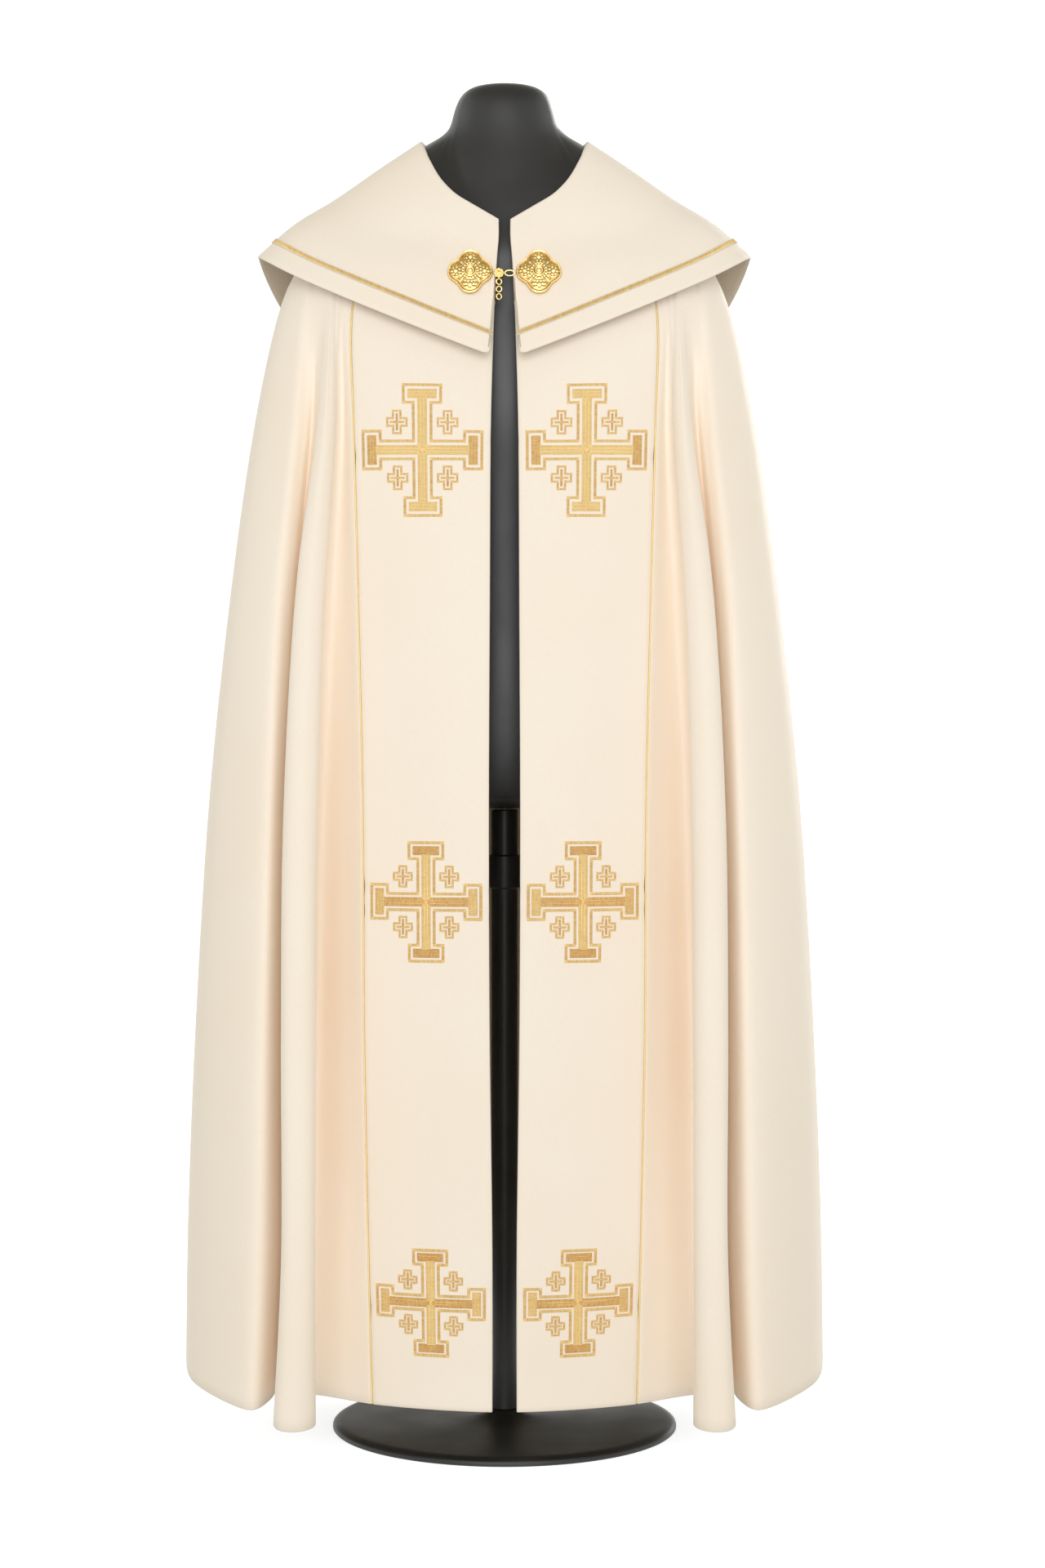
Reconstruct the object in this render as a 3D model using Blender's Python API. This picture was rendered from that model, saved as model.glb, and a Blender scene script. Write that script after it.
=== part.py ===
"""Cope with a cape collar, two orphreys and a clasp, hanging on a plain dress form.

The cope is open down the front. Its two mantle panels meet at the back of the neck and
hang in folds, an orphrey band runs down each front edge, a gold piping cord lies in the
seam between band and mantle, and a stiff cape collar covers the shoulders. +Z is up, the
front faces -Y, and the origin lies on the floor under the middle of the whole.
Every size in the tables is in millimetres. The left pieces lie at -X, the right ones at +X.
"""

import math
from functools import lru_cache

import bmesh
import bpy
import numpy as np
from mathutils import Matrix, Vector

MM = 0.001
SIDES = {"left": -1.0, "right": 1.0}

# Cloth and trim thicknesses, and the gaps between neighbouring pieces.
MANTLE_WALL = 1.6
ORPHREY_WALL = 2.0
COLLAR_WALL = 2.4
SEAM_GAP = 0.3
PIPING_RADIUS = 1.25
PIPING_SINK = {"under_collar": 1.4, "below": 0.5}
PIPING_GAP = 0.45
BACK_SEAM = 0.4
FORM_GAP = 0.5
COLLAR_LIFT = 2.2
TRIM_GAP = 0.4
BRAID_WIDTH = 6.5
BRAID_WALL = 1.0
BRAID_INSET = 24.0
EMBROIDERY_WALL = 0.9
EMBROIDERY_GAP = 0.75

# The hanging cloth, one row for each level from the neckline to the hem. Columns x are
# distances out from the middle, columns y are depths, negative towards the front.
LEVEL_COLUMNS = (
    "z_front", "z_side", "z_back", "inner_x", "inner_y", "seam_x", "seam_y",
    "hollow_x", "hollow_y", "fold_x", "fold_y", "fold_half", "root_x", "root_y",
    "lobe_x", "lobe_y", "side_x", "side_y", "back_y", "growth", "crest_drop",
)
LEVELS = (
    (1460, 1570, 1556, 8, -104, 68, -84, 78, -73, 87, -62, 3, 93, -49, 97, -34, 100, 0, 84, 0, 0),
    (1438, 1537, 1522, 8, -113, 108, -86, 119, -76, 128, -65, 4, 135, -54, 143, -38, 150, 0, 103, 0, 0),
    (1412, 1499, 1478, 10, -122, 145, -95, 160, -84, 172, -73, 5, 183, -61, 195, -41, 205, 0, 121, 0, 0),
    (1372, 1432, 1430, 12, -131, 173, -112, 188, -106, 201, -99, 6, 214, -88, 230, -68, 245, 0, 134, 0.02, 0),
    (1320, 1362, 1362, 14, -142, 182, -128, 193, -124, 206, -130, 9, 221, -110, 246, -96, 277, 0, 148, 0.15, 0),
    (1200, 1210, 1210, 17, -160, 178, -146, 192, -130, 211, -164, 13, 230, -104, 256, -122, 309, 0, 178, 0.45, 0),
    (1000, 1000, 1000, 18, -181, 172, -163, 202, -128, 228, -202, 17, 249, -92, 275, -150, 338, 0, 216, 0.68, 0),
    (750, 750, 750, 19, -203, 166, -180, 214, -120, 236, -238, 20, 257, -75, 284, -178, 364, 4, 246, 0.84, 0),
    (500, 500, 500, 18, -218, 164, -191, 220, -118, 237, -262, 20, 259, -66, 290, -200, 380, 8, 266, 0.94, 0),
    (260, 262, 262, 15, -228, 159, -198, 222, -140, 236, -279, 19.5, 259, -68, 294, -214, 389, 12, 280, 1.0, 4),
    (70, 80, 78, 15, -234, 154, -203, 226, -165, 240, -290, 24, 266, -78, 300, -224, 392, 16, 290, 1.0, 10),
)
ROW_LEVELS = (0, 1, 2, 3, 3.5, 4, 4.45, 5.5, 6.25, 7.08, 7.68, 8.35, 9, 9.7, 10)
ORPHREY_SHARES = (0, 0.25, 0.5, 0.75, 1)
# How far the middle of an orphrey bows out in front, and the levels over which that begins.
ORPHREY_BOW = 7
BOW_LEVELS = (2, 4)
FRONT_STEPS = (4, 2, 2, 3, 3, 2, 2, 2, 3, 3, 3)
BACK_COLUMNS = 30

# Folds of the back, as bumps on an oval: the angle round from the side to the middle back,
# the angle that the fold takes up, and its height at the hem.
BACK_FOLDS = (
    (23, 22, 24),
    (43, 19, 40),
    (65, 20, 44),
    (90, 22, 42),
)

# The cape collar: its outer edge, and how it bows out where it leaves the shoulders. It lies
# on the cloth's first levels, numbered 0 to 2, and reaches its own edge at number 4.
COLLAR_EDGE = {"inner_x": 16, "half_width": 300, "front": 166, "back": 198,
               "z_front": 1288, "z_side": 1430, "z_back": 1215, "squareness": 2.15,
               "fall_front": 0.8, "fall_back": 1.6}
COLLAR_BOW = {"front": 2, "side": 5, "back": 7}
COLLAR_ANGLES = (0, 9, 18, 27, 36, 45, 54, 63, 71, 78, 84, 90, 96, 103, 112, 122, 133, 144, 156, 168, 180)
COLLAR_ROWS = (0, 0.5, 1, 1.5, 2, 2.5)

# The dress form's neck, above the cloth, one row for each ring: its heights at the front, side
# and back, then its half width and its depths at the front and back.
NECK_RINGS = (
    (1640, 1640, 1640, 34, 34, 34),
    (1633, 1633, 1633, 50, 49, 49),
    (1619, 1619, 1619, 59, 57, 57),
    (1598, 1600, 1600, 64, 62, 61),
    (1566, 1588, 1588, 67, 68, 64),
    (1510, 1578, 1573, 77, 86, 71),
)
NECK_TOP = 1642
# The torso under the shoulders, which ends in a flat bottom: a ring's height, its half width and
# its depths at the front and back.
TORSO_RINGS = (
    (1385, 200, 116, 117),
    (1340, 190, 121, 120),
    (1290, 176, 126, 120),
    (1180, 162, 118, 106),
    (1060, 148, 104, 92),
    (940, 160, 106, 100),
    (850, 170, 108, 110),
    (790, 162, 100, 104),
    (762, 138, 84, 88),
)
TORSO_BOTTOM = 755
FORM_COLUMN_STEP = 3

POLE_RADIUS = 16
BASE_RADIUS = 210
BASE_PROFILE = ((0, 22), (19, 22), (24, 16), (70, 12), (196, 10), (210, 6), (210, 0), (0, 0))

# A cross potent with four small crosses between its arms, in the size of the top one.
CROSS_PLACES = {"top": 1183, "middle": 655, "bottom": 193}
CROSS_HEIGHTS = {"top": 158, "middle": 140, "bottom": 123}
CROSS_SHARE_OF_BAND = 0.9
DRAWN_WIDTH = 147.0
DRAWN_HEIGHT = 158.0
BAR_HALF = 5.4
CAP_HALF = 17.0
CAP_DEPTH = 10.5
BORDER_SPACE = 3.6
BORDER_LINE = 3.2
SMALL_OFFSET = (30.5, 33.0)
SMALL_HALF = (12.8, 14.4)
SMALL_ARM = 5.6

# The clasp: two domed quatrefoil plates, a hook between them and three spare links.
CLASP_X = 39
CLASP_HEIGHT = 1397
PLATE_RADIUS = 27
PLATE_TALL = 1.12
PLATE_STEPS = 32
PLATE_SEAT = 1.35
HOOK_OUT = 3.4
HOOK_X = -6.6
HOOK_DROP = 3.0
HOOK_PROFILE = ((0, 3.6), (2.4, 3.3), (4.4, 2.2), (5.6, 1.0), (5.6, 0), (0, 0))
EYE_X = 6.0
EYE_STRETCH = 1.55
PLATE_PROFILE = (
    (1.0, 0.0), (1.0, 1.6), (0.93, 2.8), (0.84, 2.0), (0.58, 3.4),
    (0.36, 2.4), (0.31, 4.4), (0.18, 4.8), (0.1, 6.2),
)
LINK_RING = 3.4
LINK_WIRE = 0.85


def colour_material(name, colour, roughness, metallic=0.0):
    """A Principled material with one colour."""
    material = bpy.data.materials.new(name)
    material.use_nodes = True
    shader = material.node_tree.nodes["Principled BSDF"]
    shader.inputs["Base Color"].default_value = (*colour, 1.0)
    shader.inputs["Roughness"].default_value = roughness
    shader.inputs["Metallic"].default_value = metallic
    return material


def catmull(before, start, end, after, share):
    """A point between start and end on a uniform Catmull-Rom curve."""
    a = 2 * start
    b = end - before
    c = 2 * before - 5 * start + 4 * end - after
    d = -before + 3 * start - 3 * end + after
    return 0.5 * (a + b * share + c * share**2 + d * share**3)


@lru_cache(maxsize=None)
def level_at(position):
    """The cloth table's values at a level, which may lie between two rows, by column name."""
    table = np.array(LEVELS, float)
    low = min(int(position), len(table) - 2)
    rows = [table[min(max(low + k, 0), len(table) - 1)] for k in (-1, 0, 1, 2)]
    values = catmull(*rows, position - low)
    return dict(zip(LEVEL_COLUMNS, values))


def mix(start, end, share):
    """A point that share of the way from start to end."""
    return tuple(s + (e - s) * share for s, e in zip(start, end))


def height_at(level, x, y):
    """How high the cloth of a level is at a point in plan."""
    if y < level["side_y"]:
        share = (level["side_y"] - y) / (level["side_y"] - level["inner_y"])
        return level["z_side"] + (level["z_front"] - level["z_side"]) * min(share, 1.0) ** 2
    share = (y - level["side_y"]) / (level["back_y"] - level["side_y"])
    return level["z_side"] + (level["z_back"] - level["z_side"]) * min(share, 1.0) ** 2


def front_points(level):
    """The plan points that the front of one mantle panel follows, from the seam to the side."""
    seam = (level["seam_x"], level["seam_y"])
    hollow = (level["hollow_x"], level["hollow_y"])
    crest = (level["fold_x"], level["fold_y"])
    root = (level["root_x"], level["root_y"])
    lobe = (level["lobe_x"], level["lobe_y"])
    side = (level["side_x"], level["side_y"])
    half, formed = level["fold_half"], min(1.0, level["growth"] * 1.6)
    x, y = crest
    inner_foot = mix(mix(hollow, crest, 0.33), (x - 0.55 * half, y + 0.62 * (hollow[1] - y)), formed)
    inner_side = mix(mix(hollow, crest, 0.67), (x - half, y + 0.95 * half), formed)
    outer_side = mix(mix(crest, root, 0.33), (x + half, y + 0.95 * half), formed)
    outer_foot = mix(mix(crest, root, 0.67), (x + 0.8 * half, y + 0.55 * (root[1] - y)), formed)
    lobe_wall = mix(mix(root, lobe, 0.5), (mix(root, lobe, 0.2)[0], mix(root, lobe, 0.74)[1]), formed)
    lobe_flank = (mix(lobe, side, 0.75)[0], mix(lobe, side, 0.45)[1])
    return [seam, hollow, inner_foot, inner_side, crest, outer_side, outer_foot, root,
            lobe_wall, lobe, lobe_flank, side]


def back_point(level, degrees):
    """A plan point of the back, on an oval with the back's folds standing out of it."""
    angle = math.radians(degrees)
    middle = BACK_FOLDS[-1][2] * level["growth"]
    across, deep = level["side_x"], level["back_y"] - level["side_y"] - middle
    normal = Vector((deep * math.cos(angle), across * math.sin(angle))).normalized()
    out = 0.0
    for fold_angle, width, height in BACK_FOLDS:
        away = abs(degrees - fold_angle) / width
        if away < 0.5:
            out += height * level["growth"] * math.cos(math.pi * away) ** 2
    return (across * math.cos(angle) + normal.x * out,
            level["side_y"] + deep * math.sin(angle) + normal.y * out)


@lru_cache(maxsize=None)
def mantle_row(position):
    """One level of a mantle panel's outer face, from the seam round to the middle back."""
    level = level_at(position)
    plan = front_points(level)
    drops = [0.0] * len(plan)
    drops[3:6] = [level["crest_drop"] * share for share in (0.8, 1.0, 0.8)]
    line = [np.array((x, y, height_at(level, x, y) - drop)) for (x, y), drop in zip(plan, drops)]
    step = 90.0 / BACK_COLUMNS
    x, y = back_point(level, step * 2)
    before = np.array((level["inner_x"], level["inner_y"], height_at(level, level["inner_x"], level["inner_y"])))
    before = line[0] + (before - line[0]) * 0.25
    line = [before, *line, np.array((x, y, height_at(level, x, y)))]
    row = []
    for k, steps in enumerate(FRONT_STEPS):
        row += [catmull(*line[k:k + 4], s / steps) for s in range(steps)]
    row.append(line[-2])
    for k in range(1, BACK_COLUMNS + 1):
        x, y = back_point(level, step * k)
        row.append(np.array((x, y, height_at(level, x, y))))
    row = np.array(row)
    row[-1, 0] = BACK_SEAM / 2
    return row


def seam_point(position):
    """Where the seam between orphrey and mantle lies at a level, on the outer face."""
    level = level_at(position)
    x, y = level["seam_x"], level["seam_y"]
    return np.array((x, y, height_at(level, x, y)))


def inner_point(position):
    """Where an orphrey's free edge lies at a level, on the outer face."""
    level = level_at(position)
    x, y = level["inner_x"], level["inner_y"]
    return np.array((x, y, height_at(level, x, y)))


def seam_room(position, across):
    """How far to stop from the seam along a direction, so that the piping has its room."""
    along = seam_point(position + 0.05) - seam_point(position - 0.05)
    lean = np.dot(along, across) / (np.linalg.norm(along) * np.linalg.norm(across))
    return (PIPING_RADIUS + PIPING_GAP) / math.sqrt(1 - lean**2)


@lru_cache(maxsize=None)
def orphrey_point(position, share):
    """A point of an orphrey's outer face: share 0 is its free edge and 1 its seam edge."""
    inner, seam = inner_point(position), seam_point(position)
    width = np.linalg.norm(seam - inner)
    along = share * (width - seam_room(position, seam - inner)) / width
    bow = np.interp(position, BOW_LEVELS, (0, ORPHREY_BOW)) * 4 * along * (1 - along)
    return inner + (seam - inner) * along - np.array((0, bow, 0))


def normals_of(grid):
    """Outward unit normals of a grid of points whose rows run down and columns run back."""
    down = np.gradient(grid, axis=0)
    across = np.gradient(grid, axis=1)
    normals = np.cross(down, across)
    return normals / np.linalg.norm(normals, axis=2, keepdims=True)


def mesh_object(name, points, faces, material, smooth=True, mirrored=False):
    """An object from points in millimetres and faces, mirrored across X if asked."""
    points = np.array(points, float) * MM
    if mirrored:
        points[:, 0] *= -1
        faces = [tuple(reversed(face)) for face in faces]
    mesh = bpy.data.meshes.new(name)
    mesh.from_pydata([tuple(p) for p in points], [], faces)
    mesh.materials.append(material)
    made = bpy.data.objects.new(name, mesh)
    bpy.context.scene.collection.objects.link(made)
    if smooth:
        mesh.shade_smooth()
        mesh.set_sharp_from_angle(angle=math.radians(50))
    return made


def wall_faces(rows, columns, closed=False):
    """Faces of a wall whose outer grid of points comes first and its inner grid second."""
    inner = rows * columns
    turn = columns if closed else columns - 1
    faces = []
    for r in range(rows - 1):
        for c in range(turn):
            n = (c + 1) % columns
            quad = (r * columns + c, (r + 1) * columns + c, (r + 1) * columns + n, r * columns + n)
            faces.append(quad)
            faces.append(tuple(inner + k for k in reversed(quad)))
    for c in range(turn):
        n = (c + 1) % columns
        low = (rows - 1) * columns
        faces.append((c, n, inner + n, inner + c))
        faces.append((low + n, low + c, inner + low + c, inner + low + n))
    if not closed:
        for r in range(rows - 1):
            here, below = r * columns, (r + 1) * columns
            faces.append((below, here, inner + here, inner + below))
            here, below = here + columns - 1, below + columns - 1
            faces.append((here, below, inner + below, inner + here))
    return faces


def wall(name, outer, thickness, material, side, flat_back=False):
    """A cloth wall that lies inside a grid of outer points; flat_back keeps its last edge square."""
    normals = normals_of(outer)
    if flat_back:
        normals[:, -1, 0] = 0
        normals /= np.linalg.norm(normals, axis=2, keepdims=True)
    inner = outer - normals * thickness
    points = np.concatenate([outer.reshape(-1, 3), inner.reshape(-1, 3)])
    faces = wall_faces(*outer.shape[:2])
    return mesh_object(name, points, faces, material, mirrored=side == "left")


def mantle_grid():
    """The outer face of the right mantle panel, whose first column stops short of the piping."""
    grid = np.array([mantle_row(position) for position in ROW_LEVELS])
    for row, position in zip(grid, ROW_LEVELS):
        away = row[1] - row[0]
        row[0] += away / np.linalg.norm(away) * seam_room(position, away)
    return grid


def orphrey_grid():
    """The outer face of the right orphrey."""
    return np.array([[orphrey_point(p, share) for share in ORPHREY_SHARES] for p in ROW_LEVELS])


def piping(side, material):
    """The gold cord in the seam between orphrey and mantle."""
    curve = bpy.data.curves.new(f"piping_{side}", "CURVE")
    curve.dimensions = "3D"
    curve.bevel_depth = PIPING_RADIUS * MM
    curve.bevel_resolution = 2
    curve.use_fill_caps = True
    spline = curve.splines.new("POLY")
    spline.points.add(len(ROW_LEVELS) - 1)
    normals = normals_of(mantle_grid())[:, 0] + normals_of(orphrey_grid())[:, -1]
    for point, position, normal in zip(spline.points, ROW_LEVELS, normals):
        sink = np.interp(position, (2.5, 4), (PIPING_SINK["under_collar"], PIPING_SINK["below"]))
        x, y, z = (seam_point(position) - normal / np.linalg.norm(normal) * sink) * MM
        point.co = (x * SIDES[side], y, z, 1.0)
    curve.materials.append(material)
    made = bpy.data.objects.new(curve.name, curve)
    bpy.context.scene.collection.objects.link(made)
    return made


@lru_cache(maxsize=None)
def around(position):
    """A level's outer points from free edge to middle back, each with its angle from the front."""
    level = level_at(position)
    front = [orphrey_point(position, share) for share in (0, 0.5, 1)]
    line = np.concatenate([front, mantle_row(position)])
    depths = np.where(line[:, 1] < 0, -level["inner_y"], level["back_y"])
    return line, np.degrees(np.arctan2(line[:, 0] / level["side_x"], -line[:, 1] / depths))


@lru_cache(maxsize=None)
def collar_line(degrees):
    """The points that the collar's inner face follows at an angle, from the neck to its edge."""
    edge = COLLAR_EDGE
    angle = math.radians(degrees)
    power = 2 / edge["squareness"]
    depth = edge["front"] if degrees < 90 else edge["back"]
    x = max(edge["half_width"] * abs(math.sin(angle)) ** power, edge["inner_x"])
    y = -math.copysign(depth * abs(math.cos(angle)) ** power, math.cos(angle))
    if degrees < 90:
        fall = (1 - x / edge["half_width"]) ** edge["fall_front"]
        z = edge["z_side"] + (edge["z_front"] - edge["z_side"]) * fall
    else:
        fall = abs(y / depth) ** edge["fall_back"]
        z = edge["z_side"] + (edge["z_back"] - edge["z_side"]) * fall
    out = np.array((math.sin(angle), -math.cos(angle), 1.0)) / math.sqrt(2)
    end = np.array((x, y, z))
    line = []
    for position in (0, 1, 2):
        points, angles = around(position)
        line.append(np.array([np.interp(degrees, angles, points[:, k]) for k in range(3)])
                    + out * COLLAR_LIFT)
    share = math.cos(angle) ** 2
    away = COLLAR_BOW["front"] if degrees < 90 else COLLAR_BOW["back"]
    bow = COLLAR_BOW["side"] + (away - COLLAR_BOW["side"]) * share
    line.append(line[-1] + (end - line[-1]) * 0.5 + out * bow)
    return [line[0] * 2 - line[1], *line, end, end * 2 - line[-1]]


def collar_point(degrees, number):
    """A point of the collar's inner face, number 0 at the neck and 4 at its outer edge."""
    line = collar_line(degrees)
    low = min(int(number), len(line) - 4)
    point = catmull(*line[low:low + 4], number - low)
    if degrees == 180:
        point[0] = BACK_SEAM / 2
    return point


@lru_cache(maxsize=None)
def collar_rows():
    """The numbers of the collar's rows at each column, with the braid's two edges among them."""
    rows = []
    for degrees in COLLAR_ANGLES:
        numbers = np.linspace(0, 4, 81)
        line = np.array([collar_point(degrees, n) for n in numbers])
        steps = np.linalg.norm(np.diff(line, axis=0), axis=1)
        left = np.concatenate([np.cumsum(steps[::-1])[::-1], [0]])
        top, bottom = (float(np.interp(-reach, -left, numbers))
                       for reach in (BRAID_INSET + BRAID_WIDTH, BRAID_INSET))
        rows.append((*COLLAR_ROWS, (COLLAR_ROWS[-1] + top) / 2, top, bottom, 4))
    return np.array(rows).T


def collar_grid(lift=0.0):
    """The outer face of the right collar half, moved out by lift."""
    rows = collar_rows()
    inner = np.array([[collar_point(a, n) for a, n in zip(COLLAR_ANGLES, row)] for row in rows])
    normals = normals_of(inner)
    normals[:, -1, 0] = 0
    normals /= np.linalg.norm(normals, axis=2, keepdims=True)
    return inner + normals * (COLLAR_WALL + lift)


def braid(side, material):
    """The flat gold braid sewn on the collar, a little in from its edge."""
    grid = collar_grid(TRIM_GAP + BRAID_WALL)[-3:-1]
    grid[:, 0] += (grid[:, 1] - grid[:, 0]) * 0.12
    return wall(f"braid_{side}", grid, BRAID_WALL, material, side, flat_back=True)


def ring_of(values, angles):
    """A closed ring of points of the form, from its half width, front and back depths."""
    z_front, z_side, z_back, half_width, front, back = values
    ring = []
    for angle in angles:
        y = -math.cos(angle) * (front if math.cos(angle) > 0 else back)
        share = math.cos(angle) ** 2
        z = z_side + ((z_front if math.cos(angle) > 0 else z_back) - z_side) * share
        ring.append((half_width * math.sin(angle), y, z))
    return ring


def shoulder_ring(position):
    """A ring of the form that follows the inside of the cloth at one of its upper levels."""
    rows = []
    for near in (position, position + 0.1):
        front = [inner_point(near) * (0, 1, 1), orphrey_point(near, 0.5)]
        mantle = mantle_row(near)[::FORM_COLUMN_STEP]
        rows.append(np.array([*front, *mantle]))
    insets = np.full((len(rows[0]), 1), MANTLE_WALL + FORM_GAP + 0.3)
    insets[:4] = ORPHREY_WALL + FORM_GAP + 1.5
    moved = rows[0] - normals_of(np.array(rows))[0] * insets
    moved[[0, -1], 0] = 0
    return moved


def dress_form(material):
    """The limbless form: a neck, shoulders that carry the cloth, and a torso."""
    shoulders = [shoulder_ring(position) for position in (0, 1, 2)]
    right = np.arctan2(shoulders[-1][:, 0], -shoulders[-1][:, 1])
    angles = np.concatenate([right, -right[-2:0:-1]])
    rings = [ring_of(values, angles) for values in NECK_RINGS]
    for half in shoulders:
        mirrored = half[-2:0:-1] * (-1, 1, 1)
        rings.append(np.concatenate([half, mirrored]))
    for z, half_width, front, back in TORSO_RINGS:
        rings.append(ring_of((z, z, z, half_width, front, back), angles))
    count = len(angles)
    points = [(0, 0, NECK_TOP), *np.concatenate(rings), (0, 0, TORSO_BOTTOM)]
    faces = [(0, 1 + c, 1 + (c + 1) % count) for c in range(count)]
    for r in range(len(rings) - 1):
        for c in range(count):
            here, n = 1 + r * count, (c + 1) % count
            faces.append((here + c, here + count + c, here + count + n, here + n))
    low, last = 1 + (len(rings) - 1) * count, len(points) - 1
    faces += [(last, low + (c + 1) % count, low + c) for c in range(count)]
    return mesh_object("dress_form", points, faces, material)


def turned(name, profile, steps, material):
    """A closed solid turned round Z from a profile of radius and height, top to bottom."""
    body = bmesh.new()
    corners = [body.verts.new((radius * MM, 0, height * MM)) for radius, height in profile]
    edges = [body.edges.new(pair) for pair in zip(corners, corners[1:])]
    bmesh.ops.spin(body, geom=[*corners, *edges], axis=(0, 0, 1), cent=(0, 0, 0),
                   steps=steps, angle=math.tau, use_merge=True)
    bmesh.ops.remove_doubles(body, verts=body.verts, dist=1e-6)
    bmesh.ops.recalc_face_normals(body, faces=body.faces)
    mesh = bpy.data.meshes.new(name)
    body.to_mesh(mesh)
    body.free()
    mesh.materials.append(material)
    mesh.shade_smooth()
    mesh.set_sharp_from_angle(angle=math.radians(35))
    made = bpy.data.objects.new(name, mesh)
    bpy.context.scene.collection.objects.link(made)
    return made


def potent_outline(half_x, half_y, bar, cap, depth):
    """The 28 corners of a cross potent: straight arms, each ending in a crossbar."""
    def arm(half, place):
        corners = [(bar, bar), (bar, half - depth), (cap, half - depth), (cap, half),
                   (-cap, half), (-cap, half - depth), (-bar, half - depth)]
        return [place(across, along) for across, along in corners]

    return [
        *arm(half_y, lambda across, along: (across, along)),
        *arm(half_x, lambda across, along: (-along, across)),
        *arm(half_y, lambda across, along: (-across, -along)),
        *arm(half_x, lambda across, along: (along, -across)),
    ]


def plus_outline(centre, half, arm):
    """The 12 corners of a plain cross round a centre."""
    cx, cy = centre
    hx, hy = half
    corners = [(arm, arm), (arm, hy), (-arm, hy), (-arm, arm), (-hx, arm), (-hx, -arm),
               (-arm, -arm), (-arm, -hy), (arm, -hy), (arm, -arm), (hx, -arm), (hx, arm)]
    return [(cx + x, cy + y) for x, y in corners]


@lru_cache(maxsize=None)
def orphrey_heights():
    """Levels down an orphrey, and how far each one's middle lies under the floor's height."""
    positions = np.linspace(0, len(LEVELS) - 1, 401)
    return positions, np.array([-orphrey_point(float(p), 0.5)[2] for p in positions])


def level_of_height(z):
    """The level at which an orphrey's middle is at height z."""
    positions, depths = orphrey_heights()
    return float(np.interp(-z, depths, positions))


def on_orphrey(place, drawn, lift):
    """A point of a cross's drawing laid on the right orphrey and moved out by lift."""
    x, y = drawn
    z = CROSS_PLACES[place] + y * CROSS_HEIGHTS[place] / DRAWN_HEIGHT
    position = level_of_height(z)
    share = 0.5 + 0.5 * CROSS_SHARE_OF_BAND * x / (DRAWN_WIDTH / 2)
    near = [[orphrey_point(p, s) for s in (0.4, 0.6)] for p in (position - 0.05, position + 0.05)]
    normal = normals_of(np.array(near))[0, 0]
    return orphrey_row_point(position, share) + normal * lift


def orphrey_row_point(position, share):
    """A point of an orphrey's flat facets, which run straight between the cloth's rows."""
    rows = np.array(ROW_LEVELS, float)
    above = int(np.clip(np.searchsorted(rows, position, side="right") - 1, 0, len(rows) - 2))
    part = (position - rows[above]) / (rows[above + 1] - rows[above])
    top, bottom = orphrey_point(rows[above], share), orphrey_point(rows[above + 1], share)
    return top + (bottom - top) * part


def sewn_piece(name, place, patches, material, side):
    """A thin embroidered piece made of flat patches, cut and bent where the orphrey bends."""
    body = bmesh.new()
    corners = {}
    for patch in patches:
        for point in patch:
            if point not in corners:
                corners[point] = body.verts.new((*point, 0))
        body.faces.new([corners[point] for point in patch])
    for share in ORPHREY_SHARES[1:-1]:
        x = (share - 0.5) / CROSS_SHARE_OF_BAND * DRAWN_WIDTH
        geometry = [*body.verts, *body.edges, *body.faces]
        bmesh.ops.bisect_plane(body, geom=geometry, plane_co=(x, 0, 0), plane_no=(1, 0, 0), dist=1e-4)
    body.verts.index_update()
    flat = [(corner.co.x, corner.co.y) for corner in body.verts]
    count = len(flat)
    faces = []
    for face in body.faces:
        ring = [corner.index for corner in face.verts]
        faces.append(tuple(ring))
        faces.append(tuple(count + k for k in reversed(ring)))
    for edge in body.edges:
        if edge.is_boundary:
            start, end = (corner.vert.index for corner in (edge.link_loops[0], edge.link_loops[0].link_loop_next))
            faces.append((end, start, count + start, count + end))
    body.free()
    points = [on_orphrey(place, p, EMBROIDERY_GAP + EMBROIDERY_WALL) for p in flat]
    points += [on_orphrey(place, p, EMBROIDERY_GAP) for p in flat]
    return mesh_object(name, points, faces, material, smooth=False, mirrored=side == "left")


def embroidery(side, place, material):
    """One cross potent with its outline and four small crosses, on one orphrey."""
    half_x, half_y = DRAWN_WIDTH / 2, DRAWN_HEIGHT / 2
    inset = BORDER_LINE + BORDER_SPACE
    core, hole, rim = (
        potent_outline(half_x - inset + out, half_y - inset + out, BAR_HALF + out,
                       CAP_HALF + out, CAP_DEPTH + 2 * out)
        for out in (0, BORDER_SPACE, inset)
    )
    turns = range(-1, len(rim) - 1)
    border = [(rim[k], rim[k + 1], hole[k + 1], hole[k]) for k in turns]
    name = f"{side}_{place}"
    sewn_piece(f"cross_{name}", place, [core], material, side)
    sewn_piece(f"cross_outline_{name}", place, border, material, side)
    signs = ((-1, 1), (1, 1), (-1, -1), (1, -1))
    for k, (sx, sy) in enumerate(signs):
        centre = (sx * SMALL_OFFSET[0], sy * SMALL_OFFSET[1])
        outline = plus_outline(centre, SMALL_HALF, SMALL_ARM)
        sewn_piece(f"small_cross_{name}_{k + 1}", place, [outline], material, side)


def collar_face(x, z):
    """The point of the right collar half's outer face at x and z near the front, and its normal."""
    shares = np.linspace(0.5, 4, 41)
    angles = np.linspace(0, 40, 41)
    grid = np.array([[collar_point(a, s) for a in angles] for s in shares])
    normals = normals_of(grid)
    grid = grid + normals * COLLAR_WALL
    away = (grid[:, :, 0] - x) ** 2 + (grid[:, :, 2] - z) ** 2
    r, c = np.unravel_index(np.argmin(away), away.shape)
    return grid[r, c], normals[r, c]


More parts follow.
